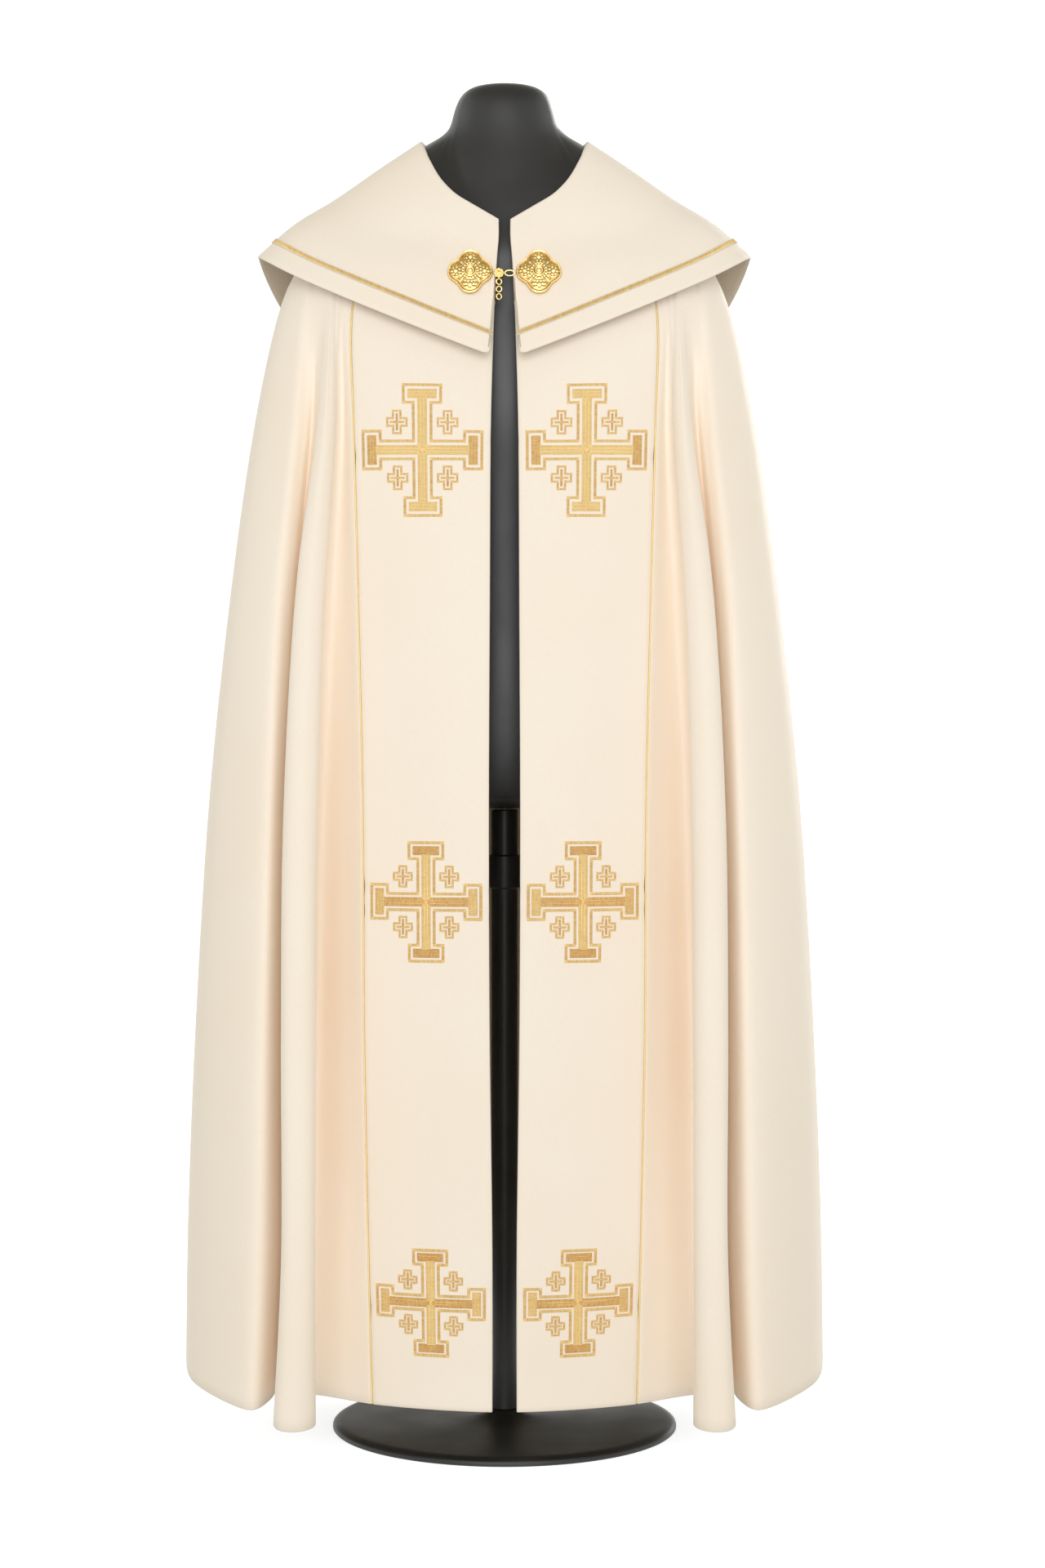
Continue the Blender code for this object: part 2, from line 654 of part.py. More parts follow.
def plate_radius(angle):
    """The clasp plate's edge: four round lobes with a slight waist between them."""
    return PLATE_RADIUS * (0.9 + 0.1 * math.cos(4 * angle))


def clasp_plate(side, material):
    """One domed quatrefoil plate of the clasp, lying on the collar."""
    points, faces = [], []
    for share, height in PLATE_PROFILE:
        for k in range(PLATE_STEPS):
            angle = math.tau * k / PLATE_STEPS
            radius = share * (plate_radius(angle) if share > 0.5 else PLATE_RADIUS * 0.9)
            points.append((radius * math.cos(angle), PLATE_TALL * radius * math.sin(angle), height))
    n = PLATE_STEPS
    faces.append(tuple(range(n - 1, -1, -1)))
    for r in range(len(PLATE_PROFILE) - 1):
        for k in range(n):
            m = (k + 1) % n
            faces.append((r * n + k, r * n + m, (r + 1) * n + m, (r + 1) * n + k))
    top = (len(PLATE_PROFILE) - 1) * n
    faces.append(tuple(range(top, top + n)))
    made = mesh_object(f"clasp_plate_{side}", points, faces, material)
    centre, normal = collar_face(CLASP_X, CLASP_HEIGHT)
    centre = (centre + normal * PLATE_SEAT) * MM
    sign = SIDES[side]
    facing = Vector((normal[0] * sign, normal[1], normal[2]))
    made.matrix_world = (Matrix.Translation((centre[0] * sign, centre[1], centre[2]))
                         @ facing.to_track_quat("Z", "Y").to_matrix().to_4x4())
    return made


def link(name, centre, turn, material, stretch=1.0):
    """A wire ring with its middle at centre, turned by a tilt in degrees, stretched along X."""
    body = bmesh.new()
    steps, sides = 12, 6
    rings = []
    for k in range(steps):
        a = math.tau * k / steps
        ring = []
        for j in range(sides):
            b = math.tau * j / sides
            radius = LINK_RING + LINK_WIRE * math.cos(b)
            ring.append(body.verts.new((radius * math.cos(a) * stretch * MM, radius * math.sin(a) * MM,
                                        LINK_WIRE * math.sin(b) * MM)))
        rings.append(ring)
    for k in range(steps):
        for j in range(sides):
            m, n = (k + 1) % steps, (j + 1) % sides
            body.faces.new((rings[k][j], rings[m][j], rings[m][n], rings[k][n]))
    bmesh.ops.recalc_face_normals(body, faces=body.faces)
    mesh = bpy.data.meshes.new(name)
    body.to_mesh(mesh)
    body.free()
    mesh.materials.append(material)
    mesh.shade_smooth()
    made = bpy.data.objects.new(name, mesh)
    bpy.context.scene.collection.objects.link(made)
    made.location = [c * MM for c in centre]
    made.rotation_euler = (math.radians(turn), 0, 0)
    return made


def hook_and_links(material):
    """The hook's boss beside the left plate, the eye ring and the three spare links."""
    edge = collar_face(CLASP_X - PLATE_RADIUS, CLASP_HEIGHT)[0]
    y, z = edge[1] - HOOK_OUT, CLASP_HEIGHT - HOOK_DROP
    boss = turned("clasp_hook", HOOK_PROFILE, 16, material)
    boss.location = [c * MM for c in (HOOK_X, y - 1.0, z)]
    boss.rotation_euler = (math.radians(90), 0, 0)
    link("clasp_ring", (EYE_X, y - 1.6, z), 85, material, EYE_STRETCH)
    pitch = 2 * (LINK_RING + LINK_WIRE)
    top = z - HOOK_PROFILE[3][0] - SEAM_GAP - pitch / 2
    for k in range(3):
        drop = k * (pitch + SEAM_GAP)
        link(f"clasp_link_{k + 1}", (HOOK_X, y - 1.6, top - drop), 90, material)


def centre_on_floor():
    """Moves everything so that the middle of the whole lies over the origin."""
    bpy.context.view_layer.update()
    depths = []
    for made in bpy.context.scene.objects:
        if made.type == "MESH":
            depths += [(made.matrix_world @ corner.co).y for corner in made.data.vertices]
    middle = (min(depths) + max(depths)) / 2
    for made in bpy.context.scene.objects:
        made.location.y -= middle


def main():
    """Builds every piece."""
    for old in list(bpy.data.objects):
        bpy.data.objects.remove(old)
    ivory = colour_material("ivory_cloth", (0.86, 0.79, 0.66), 0.75)
    gold = colour_material("gold_thread", (0.72, 0.48, 0.16), 0.45, 0.3)
    brass = colour_material("gilt_metal", (0.83, 0.61, 0.22), 0.28, 1.0)
    black = colour_material("form_black", (0.02, 0.02, 0.02), 0.4)
    steel = colour_material("stand_steel", (0.05, 0.05, 0.05), 0.35, 0.6)
    for side in SIDES:
        wall(f"mantle_{side}", mantle_grid(), MANTLE_WALL, ivory, side, flat_back=True)
        wall(f"orphrey_{side}", orphrey_grid(), ORPHREY_WALL, ivory, side)
        wall(f"collar_{side}", collar_grid(), COLLAR_WALL, ivory, side, flat_back=True)
        piping(side, gold)
        braid(side, gold)
        clasp_plate(side, brass)
        for place in CROSS_PLACES:
            embroidery(side, place, gold)
    hook_and_links(brass)
    dress_form(black)
    pole_top, pole_foot = TORSO_BOTTOM - SEAM_GAP, BASE_PROFILE[0][1] + SEAM_GAP
    pole = ((0, pole_top), (POLE_RADIUS, pole_top), (POLE_RADIUS, pole_foot), (0, pole_foot))
    turned("stand_pole", pole, 20, steel)
    turned("stand_base", BASE_PROFILE, 40, steel)
    centre_on_floor()


main()
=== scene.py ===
"""The looks of a cope on a dress form: cloth, embroidery, gilt clasp, stand, light and camera.

The cope hangs open at the front, +Z is up and the front faces -Y. The tables are in
millimetres, with distances out from the middle for the right half, and the left half mirrors
them. Every mesh is made in metres.
"""

import logging
import math
from dataclasses import dataclass, field
from enum import Enum
from functools import lru_cache
from typing import Any, Iterable, Sequence

import bmesh
import bpy
import numpy as np
from mathutils import Matrix, Vector


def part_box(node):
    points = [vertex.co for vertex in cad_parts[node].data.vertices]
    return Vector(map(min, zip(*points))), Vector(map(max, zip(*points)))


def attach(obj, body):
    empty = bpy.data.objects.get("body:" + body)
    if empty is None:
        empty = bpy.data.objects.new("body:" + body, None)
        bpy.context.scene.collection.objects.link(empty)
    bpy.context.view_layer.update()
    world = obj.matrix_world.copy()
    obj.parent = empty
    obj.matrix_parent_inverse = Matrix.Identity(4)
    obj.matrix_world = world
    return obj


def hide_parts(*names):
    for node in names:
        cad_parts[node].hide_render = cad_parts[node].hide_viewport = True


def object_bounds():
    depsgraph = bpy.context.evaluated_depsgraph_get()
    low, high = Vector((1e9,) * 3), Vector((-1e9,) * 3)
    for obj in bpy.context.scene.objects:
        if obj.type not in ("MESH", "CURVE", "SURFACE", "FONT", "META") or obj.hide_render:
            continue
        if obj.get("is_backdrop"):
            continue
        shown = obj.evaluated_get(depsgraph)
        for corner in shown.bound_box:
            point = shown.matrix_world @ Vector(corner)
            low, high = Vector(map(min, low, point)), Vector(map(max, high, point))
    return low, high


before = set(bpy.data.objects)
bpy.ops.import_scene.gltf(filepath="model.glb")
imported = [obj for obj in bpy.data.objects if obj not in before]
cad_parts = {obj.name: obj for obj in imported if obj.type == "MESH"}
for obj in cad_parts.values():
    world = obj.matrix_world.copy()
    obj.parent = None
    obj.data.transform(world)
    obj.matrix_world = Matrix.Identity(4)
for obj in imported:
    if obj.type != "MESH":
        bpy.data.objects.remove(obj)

MM = 0.001
PLACES = ("top", "middle", "bottom")
REPORT = logging.getLogger("cope")

# A level's columns: heights, the plan points from free edge to side, the back and the folds.
LEVEL_COLUMNS = (
    "z_front", "z_side", "z_back", "inner_x", "inner_y", "seam_x", "seam_y",
    "hollow_x", "hollow_y", "fold_x", "fold_y", "fold_half",
    "root_x", "root_y", "lobe_x", "lobe_y", "side_x", "side_y", "back_y", "growth", "crest_drop",
)
LEVELS = (
    (1460, 1570, 1556, 8, -104, 68, -84, 78, -73, 87, -62, 3,
     93, -49, 97, -34, 100, 0, 84, 0, 0),
    (1438, 1537, 1522, 8, -113, 108, -86, 119, -76, 128, -65, 4,
     135, -54, 143, -38, 150, 0, 103, 0, 0),
    (1412, 1499, 1478, 10, -122, 145, -95, 160, -84, 172, -73, 5,
     183, -61, 195, -41, 205, 0, 121, 0, 0),
    (1372, 1432, 1430, 12, -131, 173, -112, 188, -106, 201, -99, 6,
     214, -88, 230, -68, 245, 0, 134, 0.02, 0),
    (1320, 1362, 1362, 14, -142, 182, -128, 193, -124, 206, -130, 9,
     221, -110, 246, -96, 277, 0, 148, 0.15, 0),
    (1200, 1210, 1210, 17, -160, 178, -146, 192, -130, 211, -164, 13,
     230, -104, 256, -122, 309, 0, 178, 0.45, 0),
    (1000, 1000, 1000, 18, -181, 172, -163, 202, -128, 228, -202, 17,
     249, -92, 275, -150, 338, 0, 216, 0.68, 0),
    (750, 750, 750, 19, -203, 166, -180, 214, -120, 236, -238, 20,
     257, -75, 284, -178, 364, 4, 246, 0.84, 0),
    (500, 500, 500, 18, -218, 164, -191, 220, -118, 237, -262, 20,
     259, -66, 290, -200, 380, 8, 266, 0.94, 0),
    (260, 262, 262, 15, -228, 159, -198, 222, -140, 236, -279, 19.5,
     259, -68, 294, -214, 389, 12, 280, 1.0, 4),
    (70, 80, 78, 15, -234, 154, -203, 226, -165, 240, -290, 24,
     266, -78, 300, -224, 392, 16, 290, 1.0, 10),
)
# Coarse columns in each stretch of a panel's front, from the seam to the side.
FRONT_STEPS = (4, 2, 2, 3, 3, 2, 2, 2, 3, 3, 3)
# Back folds: the angle round from the side, the width in degrees and the height.
BACK_FOLDS = ((23, 22, 24), (43, 19, 40), (65, 20, 44), (90, 22, 42))
# Half the gap of a seam at the middle back.
HALF_SEAM = 0.2
# Thread sizes in metres, for the trees.
CROSS_STITCH = {"Pitch": 0.00072, "Thread": 0.00046, "Rise": 0.00034}
BRAID_STITCH = {"Pitch": 0.00105, "Thread": 0.00055, "Rise": 0.0004}
BRAID_EDGE = {"Radius": 0.0006, "Step": 0.0012, "Twist": 0.9}


class Side(Enum):
    """A half of the cope, as seen from the front, with the sign of its X."""

    LEFT = -1.0
    RIGHT = 1.0

    @property
    def word(self) -> str:
        """The side's name in lower case."""
        return self.name.lower()


def catmull(before: Any, start: Any, end: Any, after: Any, share: float) -> Any:
    """Finds a point on a uniform Catmull-Rom curve.

    Args:
        before: The control point before the stretch.
        start: Where the stretch starts.
        end: Where the stretch ends.
        after: The control point after the stretch.
        share: How far along the stretch, 0 to 1.

    Returns:
        The point, of the same kind as the control points.
    """
    b = end - before
    c = 2 * before - 5 * start + 4 * end - after
    d = -before + 3 * start - 3 * end + after
    return 0.5 * (2 * start + b * share + c * share**2 + d * share**3)


def normals_of(grid: np.ndarray) -> np.ndarray:
    """Finds outward unit normals of a grid whose rows run down and columns run back.

    Args:
        grid: Points, rows by columns by 3.

    Returns:
        An array of the same shape.
    """
    normals = np.cross(np.gradient(grid, axis=0), np.gradient(grid, axis=1))
    return normals / np.linalg.norm(normals, axis=2, keepdims=True)


def mix(start: Sequence[float], end: Sequence[float], share: float) -> tuple[float, float]:
    """The point that share of the way from start to end."""
    return start[0] + (end[0] - start[0]) * share, start[1] + (end[1] - start[1]) * share


def unit(vector: np.ndarray) -> np.ndarray:
    """The vector at length 1."""
    return vector / np.linalg.norm(vector)


def bell(away: Any, wide: float) -> Any:
    """A bump of height 1 at a distance from its middle, for a number or an array."""
    return np.exp(-((away / wide) ** 2))


def dented(grid: np.ndarray, dents: Iterable[Sequence[float]]) -> np.ndarray:
    """Presses soft dents into a grid of cloth.

    Args:
        grid: Points, rows by columns.
        dents: Each one's share across, height, half width, half height and depth.

    Returns:
        The dented grid.
    """
    shares = np.linspace(0, 1, grid.shape[1])[None, :]
    lift = np.zeros(grid.shape[:2])
    for share, height, wide, tall, depth in dents:
        lift -= depth * bell(shares - share, wide) * bell(grid[:, :, 2] - height, tall)
    return grid + normals_of(grid) * lift[:, :, None]


class Drape:
    """The hanging cloth's shape, as levels from neckline to hem that are joined smoothly."""

    last: int = len(LEVELS) - 1
    piping_room: float = 1.7
    bow: float = 7.0

    @staticmethod
    @lru_cache(maxsize=None)
    def level(position: float) -> dict[str, float]:
        """Reads the table between its rows.

        Args:
            position: The row's number, which may lie between two rows.

        Returns:
            The level's values by column name.
        """
        table = np.array(LEVELS, float)
        low = min(int(position), len(table) - 2)
        rows = [table[min(max(low + k, 0), len(table) - 1)] for k in (-1, 0, 1, 2)]
        return dict(zip(LEVEL_COLUMNS, catmull(*rows, position - low)))

    @staticmethod
    def height(level: dict[str, float], x: float, y: float) -> float:
        """Finds how high the cloth of a level is at a point in plan.

        Args:
            level: The level's values.
            x: Distance out from the middle.
            y: Depth.

        Returns:
            The height.
        """
        share = (level["side_y"] - y) / (level["side_y"] - level["inner_y"])
        far = level["z_front"]
        if y >= level["side_y"]:
            share = (y - level["side_y"]) / (level["back_y"] - level["side_y"])
            far = level["z_back"]
        return level["z_side"] + (far - level["z_side"]) * min(share, 1.0) ** 2

    @classmethod
    def lifted(cls, level: dict[str, float], x: float, y: float) -> np.ndarray:
        """The point of a level above x and y."""
        return np.array((x, y, cls.height(level, x, y)))

    @staticmethod
    def front_plan(level: dict[str, float]) -> list[tuple[float, float]]:
        """Lists the plan points that the front of a mantle panel follows.

        Args:
            level: The level's values.

        Returns:
            Points from the seam to the side.
        """
        seam, hollow, crest, root, lobe, side = (
            (level[f"{name}_x"], level[f"{name}_y"])
            for name in ("seam", "hollow", "fold", "root", "lobe", "side"))
        half, formed = level["fold_half"], min(1.0, level["growth"] * 1.6)
        x, y = crest
        foot_in = mix(mix(hollow, crest, 0.33),
                      (x - 0.55 * half, y + 0.62 * (hollow[1] - y)), formed)
        wall_in = mix(mix(hollow, crest, 0.67), (x - half, y + 0.95 * half), formed)
        wall_out = mix(mix(crest, root, 0.33), (x + half, y + 0.95 * half), formed)
        foot_out = mix(mix(crest, root, 0.67),
                       (x + 0.8 * half, y + 0.55 * (root[1] - y)), formed)
        lobe_wall = mix(mix(root, lobe, 0.5),
                        (mix(root, lobe, 0.2)[0], mix(root, lobe, 0.74)[1]), formed)
        flank = (mix(lobe, side, 0.75)[0], mix(lobe, side, 0.45)[1])
        return [seam, hollow, foot_in, wall_in, crest, wall_out, foot_out, root, lobe_wall, lobe,
                flank, side]

    @classmethod
    def back_point(cls, level: dict[str, float], degrees: float) -> np.ndarray:
        """Finds a point of the back, on an oval with the back's folds standing out of it.

        Args:
            level: The level's values.
            degrees: The angle round from the side, 90 at the middle back.

        Returns:
            The point.
        """
        angle = math.radians(degrees)
        across = level["side_x"]
        deep = level["back_y"] - level["side_y"] - BACK_FOLDS[-1][2] * level["growth"]
        normal = unit(np.array((deep * math.cos(angle), across * math.sin(angle))))
        out = 0.0
        for fold_angle, width, height in BACK_FOLDS:
            away = abs(degrees - fold_angle) / width
            if away < 0.5:
                out += height * level["growth"] * math.cos(math.pi * away) ** 2
        x = across * math.cos(angle) + normal[0] * out
        y = level["side_y"] + deep * math.sin(angle) + normal[1] * out
        return cls.lifted(level, x, y)

    @classmethod
    def mantle_row(cls, position: float, front: int, back: int) -> np.ndarray:
        """Makes one level of a mantle panel's outer face.

        Args:
            position: The level.
            front: How many times finer than the coarse steps the front is.
            back: How many columns the back has.

        Returns:
            Points from the seam round to the middle back.
        """
        level = cls.level(position)
        line = [cls.lifted(level, *point) for point in cls.front_plan(level)]
        for k, share in ((3, 0.8), (4, 1.0), (5, 0.8)):
            line[k] = line[k] - np.array((0, 0, level["crest_drop"] * share))
        inner = cls.lifted(level, level["inner_x"], level["inner_y"])
        line = [line[0] + (inner - line[0]) * 0.25, *line, cls.back_point(level, 6.0)]
        row = []
        for k, steps in enumerate(FRONT_STEPS):
            fine = steps * front
            row += [catmull(*line[k:k + 4], s / fine) for s in range(fine)]
        row += [cls.back_point(level, 90.0 * k / back) for k in range(back + 1)]
        row = np.array(row)
        row[-1, 0] = HALF_SEAM
        return row

    @classmethod
    def seam(cls, position: float) -> np.ndarray:
        """The point of the seam between orphrey and mantle at a level."""
        level = cls.level(position)
        return cls.lifted(level, level["seam_x"], level["seam_y"])

    @classmethod
    def free_edge(cls, position: float) -> np.ndarray:
        """The point of an orphrey's free edge at a level."""
        level = cls.level(position)
        return cls.lifted(level, level["inner_x"], level["inner_y"])

    @classmethod
    def room(cls, position: float, across: np.ndarray) -> float:
        """Finds how far to stop from the seam, so that the piping has its room.

        Args:
            position: The level.
            across: The direction in which the cloth reaches the seam.

        Returns:
            The distance along that direction.
        """
        along = cls.seam(position + 0.05) - cls.seam(position - 0.05)
        lean = np.dot(along, across) / (np.linalg.norm(along) * np.linalg.norm(across))
        return cls.piping_room / math.sqrt(1 - lean**2)

    @classmethod
    @lru_cache(maxsize=None)
    def band_point(cls, position: float, share: float) -> np.ndarray:
        """Finds a point of an orphrey's outer face.

        Args:
            position: The level.
            share: 0 at the free edge and 1 at the seam edge.

        Returns:
            The point.
        """
        inner, seam = cls.free_edge(position), cls.seam(position)
        width = np.linalg.norm(seam - inner)
        along = share * (width - cls.room(position, seam - inner)) / width
        bow = np.interp(position, (2, 4), (0, cls.bow)) * 4 * along * (1 - along)
        return inner + (seam - inner) * along - np.array((0, bow, 0))

    @classmethod
    @lru_cache(maxsize=None)
    def band_heights(cls) -> tuple[np.ndarray, np.ndarray]:
        """Levels down an orphrey, and how far each one's middle lies under the floor."""
        positions = np.linspace(0, cls.last, 801)
        return positions, np.array([-cls.band_point(float(p), 0.5)[2] for p in positions])

    @classmethod
    def position_of(cls, z: float) -> float:
        """The level at which an orphrey's middle is at height z."""
        positions, depths = cls.band_heights()
        return float(np.interp(-z, depths, positions))

    @classmethod
    def rows_every(cls, spacing: float) -> list[float]:
        """Lists levels that are about spacing apart down the front.

        Args:
            spacing: The distance between two rows.

        Returns:
            Levels from the neckline to the hem.
        """
        positions, depths = cls.band_heights()
        count = int((depths[-1] - depths[0]) / spacing)
        even = np.interp(np.linspace(depths[0], depths[-1], count + 1), depths, positions)
        return [float(p) for p in even]


@dataclass
class Shape:
    """Mesh data that is gathered before it becomes an object."""

    points: list[Any] = field(default_factory=list)
    faces: list[tuple[int, ...]] = field(default_factory=list)
    looks: list[int] = field(default_factory=list)
    places: list[tuple[float, float]] = field(default_factory=list)
    tones: list[float] = field(default_factory=list)

    def skin_rings(self, rings: int, steps: int) -> None:
        """Joins a top point, rings of points and a bottom point, all added before, with faces.

        Args:
            rings: How many rings there are.
            steps: How many points a ring has.
        """
        bottom, last = len(self.points) - 1, 1 + (rings - 1) * steps
        for j in range(steps):
            n = (j + 1) % steps
            self.faces.append((0, 1 + j, 1 + n))
            for k in range(rings - 1):
                here = 1 + k * steps
                self.faces.append((here + j, here + steps + j, here + steps + n, here + n))
            self.faces.append((last + n, last + j, bottom))

    def object(self, name: str, materials: Sequence[bpy.types.Material], side: Side = Side.RIGHT,
               sharp: float = 180.0) -> bpy.types.Object:
        """Makes the object, mirrored for the left side.

        Args:
            name: The piece's name.
            materials: Its materials, in the order of the faces' looks.
            side: The half that it belongs to.
            sharp: The angle past which an edge is shaded sharp, in degrees.

        Returns:
            The new object.
        """
        points = np.array(self.points, float) * MM
        faces = self.faces
        if side is Side.LEFT:
            points[:, 0] *= -1
            faces = [tuple(reversed(face)) for face in faces]
        mesh = bpy.data.meshes.new(name)
        mesh.from_pydata(points.tolist(), [], faces)
        for material in materials:
            mesh.materials.append(material)
        if self.looks:
            mesh.polygons.foreach_set("material_index", self.looks)
        corner = np.empty(len(mesh.loops), int)
        mesh.loops.foreach_get("vertex_index", corner)
        if self.places:
            layer = mesh.uv_layers.new(name="cloth")
            layer.data.foreach_set("uv", np.array(self.places)[corner].ravel())
        if self.tones:
            tone = mesh.attributes.new("tone", "FLOAT", "POINT")
            tone.data.foreach_set("value", self.tones)
        mesh.shade_smooth()
        if sharp < 180:
            mesh.set_sharp_from_angle(angle=math.radians(sharp))
        made = bpy.data.objects.new(name, mesh)
        bpy.context.scene.collection.objects.link(made)
        return made


def cloth_shell(outer: np.ndarray, thickness: float, straight: bool = False) -> Shape:
    """Wraps a grid of outer points into a closed cloth wall with round rims.

    Args:
        outer: The outer face's points, rows by columns.
        thickness: The cloth's thickness.
        straight: Whether the last column keeps a square seam in the X plane.

    Returns:
        The shell, whose outer faces have look 0 and inner faces look 1.
    """
    normals = normals_of(outer)
    if straight:
        normals[:, -1, 0] = 0
        normals /= np.linalg.norm(normals, axis=2, keepdims=True)
    rows, columns = outer.shape[:2]
    inner, middle = outer - normals * thickness, outer - normals * thickness / 2
    rim = np.zeros((rows + 2, columns + 2, 3))
    rim[1:-1, 1:-1] = middle
    reach = thickness / 2
    for edge, near, far in ((0, 1, 2), (-1, -2, -3)):
        away = rim[near, 1:-1] - rim[far, 1:-1]
        length = np.linalg.norm(away, axis=1, keepdims=True)
        rim[edge, 1:-1] = rim[near, 1:-1] + away / length * reach
    for edge, near, far in ((0, 1, 2), (-1, -2, -3)):
        away = rim[:, near] - rim[:, far]
        length = np.linalg.norm(away, axis=1, keepdims=True)
        length[length == 0] = 1
        step = 0.0 if straight and edge == -1 else reach
        rim[:, edge] = rim[:, near] + away / length * step
    for r in (0, -1):
        for c, near in ((0, 1), (-1, -2)):
            rim[r, c] = (rim[r, near] + rim[1 if r == 0 else -2, c]) / 2
    across = np.linalg.norm(np.diff(outer, axis=1), axis=2)
    down = np.linalg.norm(np.diff(outer, axis=0), axis=2)
    u = np.concatenate([np.zeros((rows, 1)), np.cumsum(across, axis=1)], axis=1) * MM
    v = np.concatenate([np.zeros((1, columns)), np.cumsum(down, axis=0)], axis=0) * MM
    u, v = np.pad(u, 1, mode="edge"), np.pad(v, 1, mode="edge")
    shape = Shape()
    index = {}
    for layer, grid in enumerate((outer, inner)):
        numbers = np.full((rows + 2, columns + 2), -1)
        inside = np.arange(rows * columns).reshape(rows, columns)
        numbers[1:-1, 1:-1] = inside + layer * rows * columns
        shape.points += grid.reshape(-1, 3).tolist()
        index[layer] = numbers
    start = 2 * rows * columns
    edge_cells = [(r, c) for r in range(rows + 2) for c in range(columns + 2)
                  if r in (0, rows + 1) or c in (0, columns + 1)]
    for k, (r, c) in enumerate(edge_cells):
        index[0][r, c] = index[1][r, c] = start + k
        shape.points.append(rim[r, c].tolist())
    place = np.stack([u, v], axis=2)
    wall = [tuple(spot) for spot in place[1:-1, 1:-1].reshape(-1, 2)]
    shape.places = [*wall, *wall, *(tuple(place[r, c]) for r, c in edge_cells)]
    for layer, numbers in index.items():
        a, b = numbers[:-1, :-1].ravel(), numbers[1:, :-1].ravel()
        c, d = numbers[1:, 1:].ravel(), numbers[:-1, 1:].ravel()
        quads = np.stack([a, b, c, d] if layer == 0 else [d, c, b, a], axis=1)
        shape.faces += list(map(tuple, quads.tolist()))
        shape.looks += [layer] * len(quads)
    return shape


class Graph:
    """Adds nodes to a shader or geometry tree and joins them."""

    def __init__(self, tree: bpy.types.NodeTree) -> None:
        """Starts on an existing tree."""
        self.tree = tree

    def add(self, kind: str, inputs: dict[Any, Any] | None = None,
            **settings: Any) -> bpy.types.Node:
        """Adds one node.

        Args:
            kind: The node's type.
            inputs: Input names or numbers with a value, or a socket to join.
            **settings: The node's own settings.

        Returns:
            The node.
        """
        node = self.tree.nodes.new(kind)
        for name, value in settings.items():
            setattr(node, name, value)
        for name, value in (inputs or {}).items():
            socket = self.input(node, name)
            if isinstance(value, bpy.types.NodeSocket):
                self.tree.links.new(value, socket)
            else:
                socket.default_value = value
        return node

    @staticmethod
    def input(node: bpy.types.Node, name: Any) -> bpy.types.NodeSocket:
        """Finds an input that is switched on.

        Args:
            node: The node.
            name: The input's name or number.

        Returns:
            The socket.
        """
        if isinstance(name, int):
            return node.inputs[name]
        return next(s for s in node.inputs if s.name == name and s.enabled)

    @staticmethod
    def output(node: bpy.types.Node, name: str | None = None) -> bpy.types.NodeSocket:
        """The node's output of that name, or its first one that is switched on."""
        return next(s for s in node.outputs if s.enabled and name in (None, s.name))

    def math(self, operation: str, first: Any, second: Any = 0.0) -> bpy.types.NodeSocket:
        """Adds a Math node and gives its result."""
        return self.output(self.add("ShaderNodeMath", {0: first, 1: second}, operation=operation))

    def join(self, value: bpy.types.NodeSocket, node: bpy.types.Node, name: str) -> None:
        """Joins a result to a node's input."""
        self.tree.links.new(value, self.input(node, name))

    def solid(self) -> bpy.types.NodeSocket:
        """The place on the object, for a pattern that runs through it."""
        return self.output(self.add("ShaderNodeTexCoord"), "Object")

    def tone(self) -> bpy.types.NodeSocket:
        """The tone that the mesh gives at each point, in a shader."""
        return self.output(self.add("ShaderNodeAttribute", attribute_name="tone"), "Fac")

    def stored(self, name: str, kind: str = "FLOAT") -> bpy.types.NodeSocket:
        """The mesh's attribute of that name, in a geometry tree."""
        return self.output(
            self.add("GeometryNodeInputNamedAttribute", {"Name": name}, data_type=kind))

    def noise(self, place: bpy.types.NodeSocket, scale: float,
              detail: float) -> bpy.types.NodeSocket:
        """Adds a Noise Texture node and gives its grey value."""
        node = self.add("ShaderNodeTexNoise", {"Vector": place, "Scale": scale, "Detail": detail})
        return self.output(node, "Fac")

    def held(self, value: bpy.types.NodeSocket) -> bpy.types.NodeSocket:
        """Keeps a value within 0 to 1."""
        return self.output(self.add("ShaderNodeClamp", {"Value": value}))

    def emboss(self, shader: bpy.types.Node, height: bpy.types.NodeSocket, strength: float,
               distance: float) -> None:
        """Gives a shader fine relief.

        Args:
            shader: The shader node.
            height: The relief's height.
            strength: How strongly it shows.
            distance: How deep it is, in metres.
        """
        bump = self.add("ShaderNodeBump",
                        {"Height": height, "Strength": strength, "Distance": distance})
        self.join(self.output(bump), shader, "Normal")

    def ramp(self, value: Any, low: float, high: float, start: float,
             end: float) -> bpy.types.NodeSocket:
        """Maps one range of a value onto another.

        Args:
            value: The value.
            low: Where its range starts.
            high: Where its range ends.
            start: What low becomes.
            end: What high becomes.

        Returns:
            The result.
        """
        node = self.add("ShaderNodeMapRange", {"Value": value, "From Min": low, "From Max": high,
                                               "To Min": start, "To Max": end})
        return self.output(node, "Result")

    def blend(self, share: Any, first: Any, second: Any) -> bpy.types.NodeSocket:
        """Mixes two colours.

        Args:
            share: How much of the second there is, 0 to 1.
            first: The first colour.
            second: The second colour.

        Returns:
            The result.
        """
        node = self.add("ShaderNodeMix", {"Factor": share, "A": first, "B": second},
                        data_type="RGBA")
        return self.output(node, "Result")


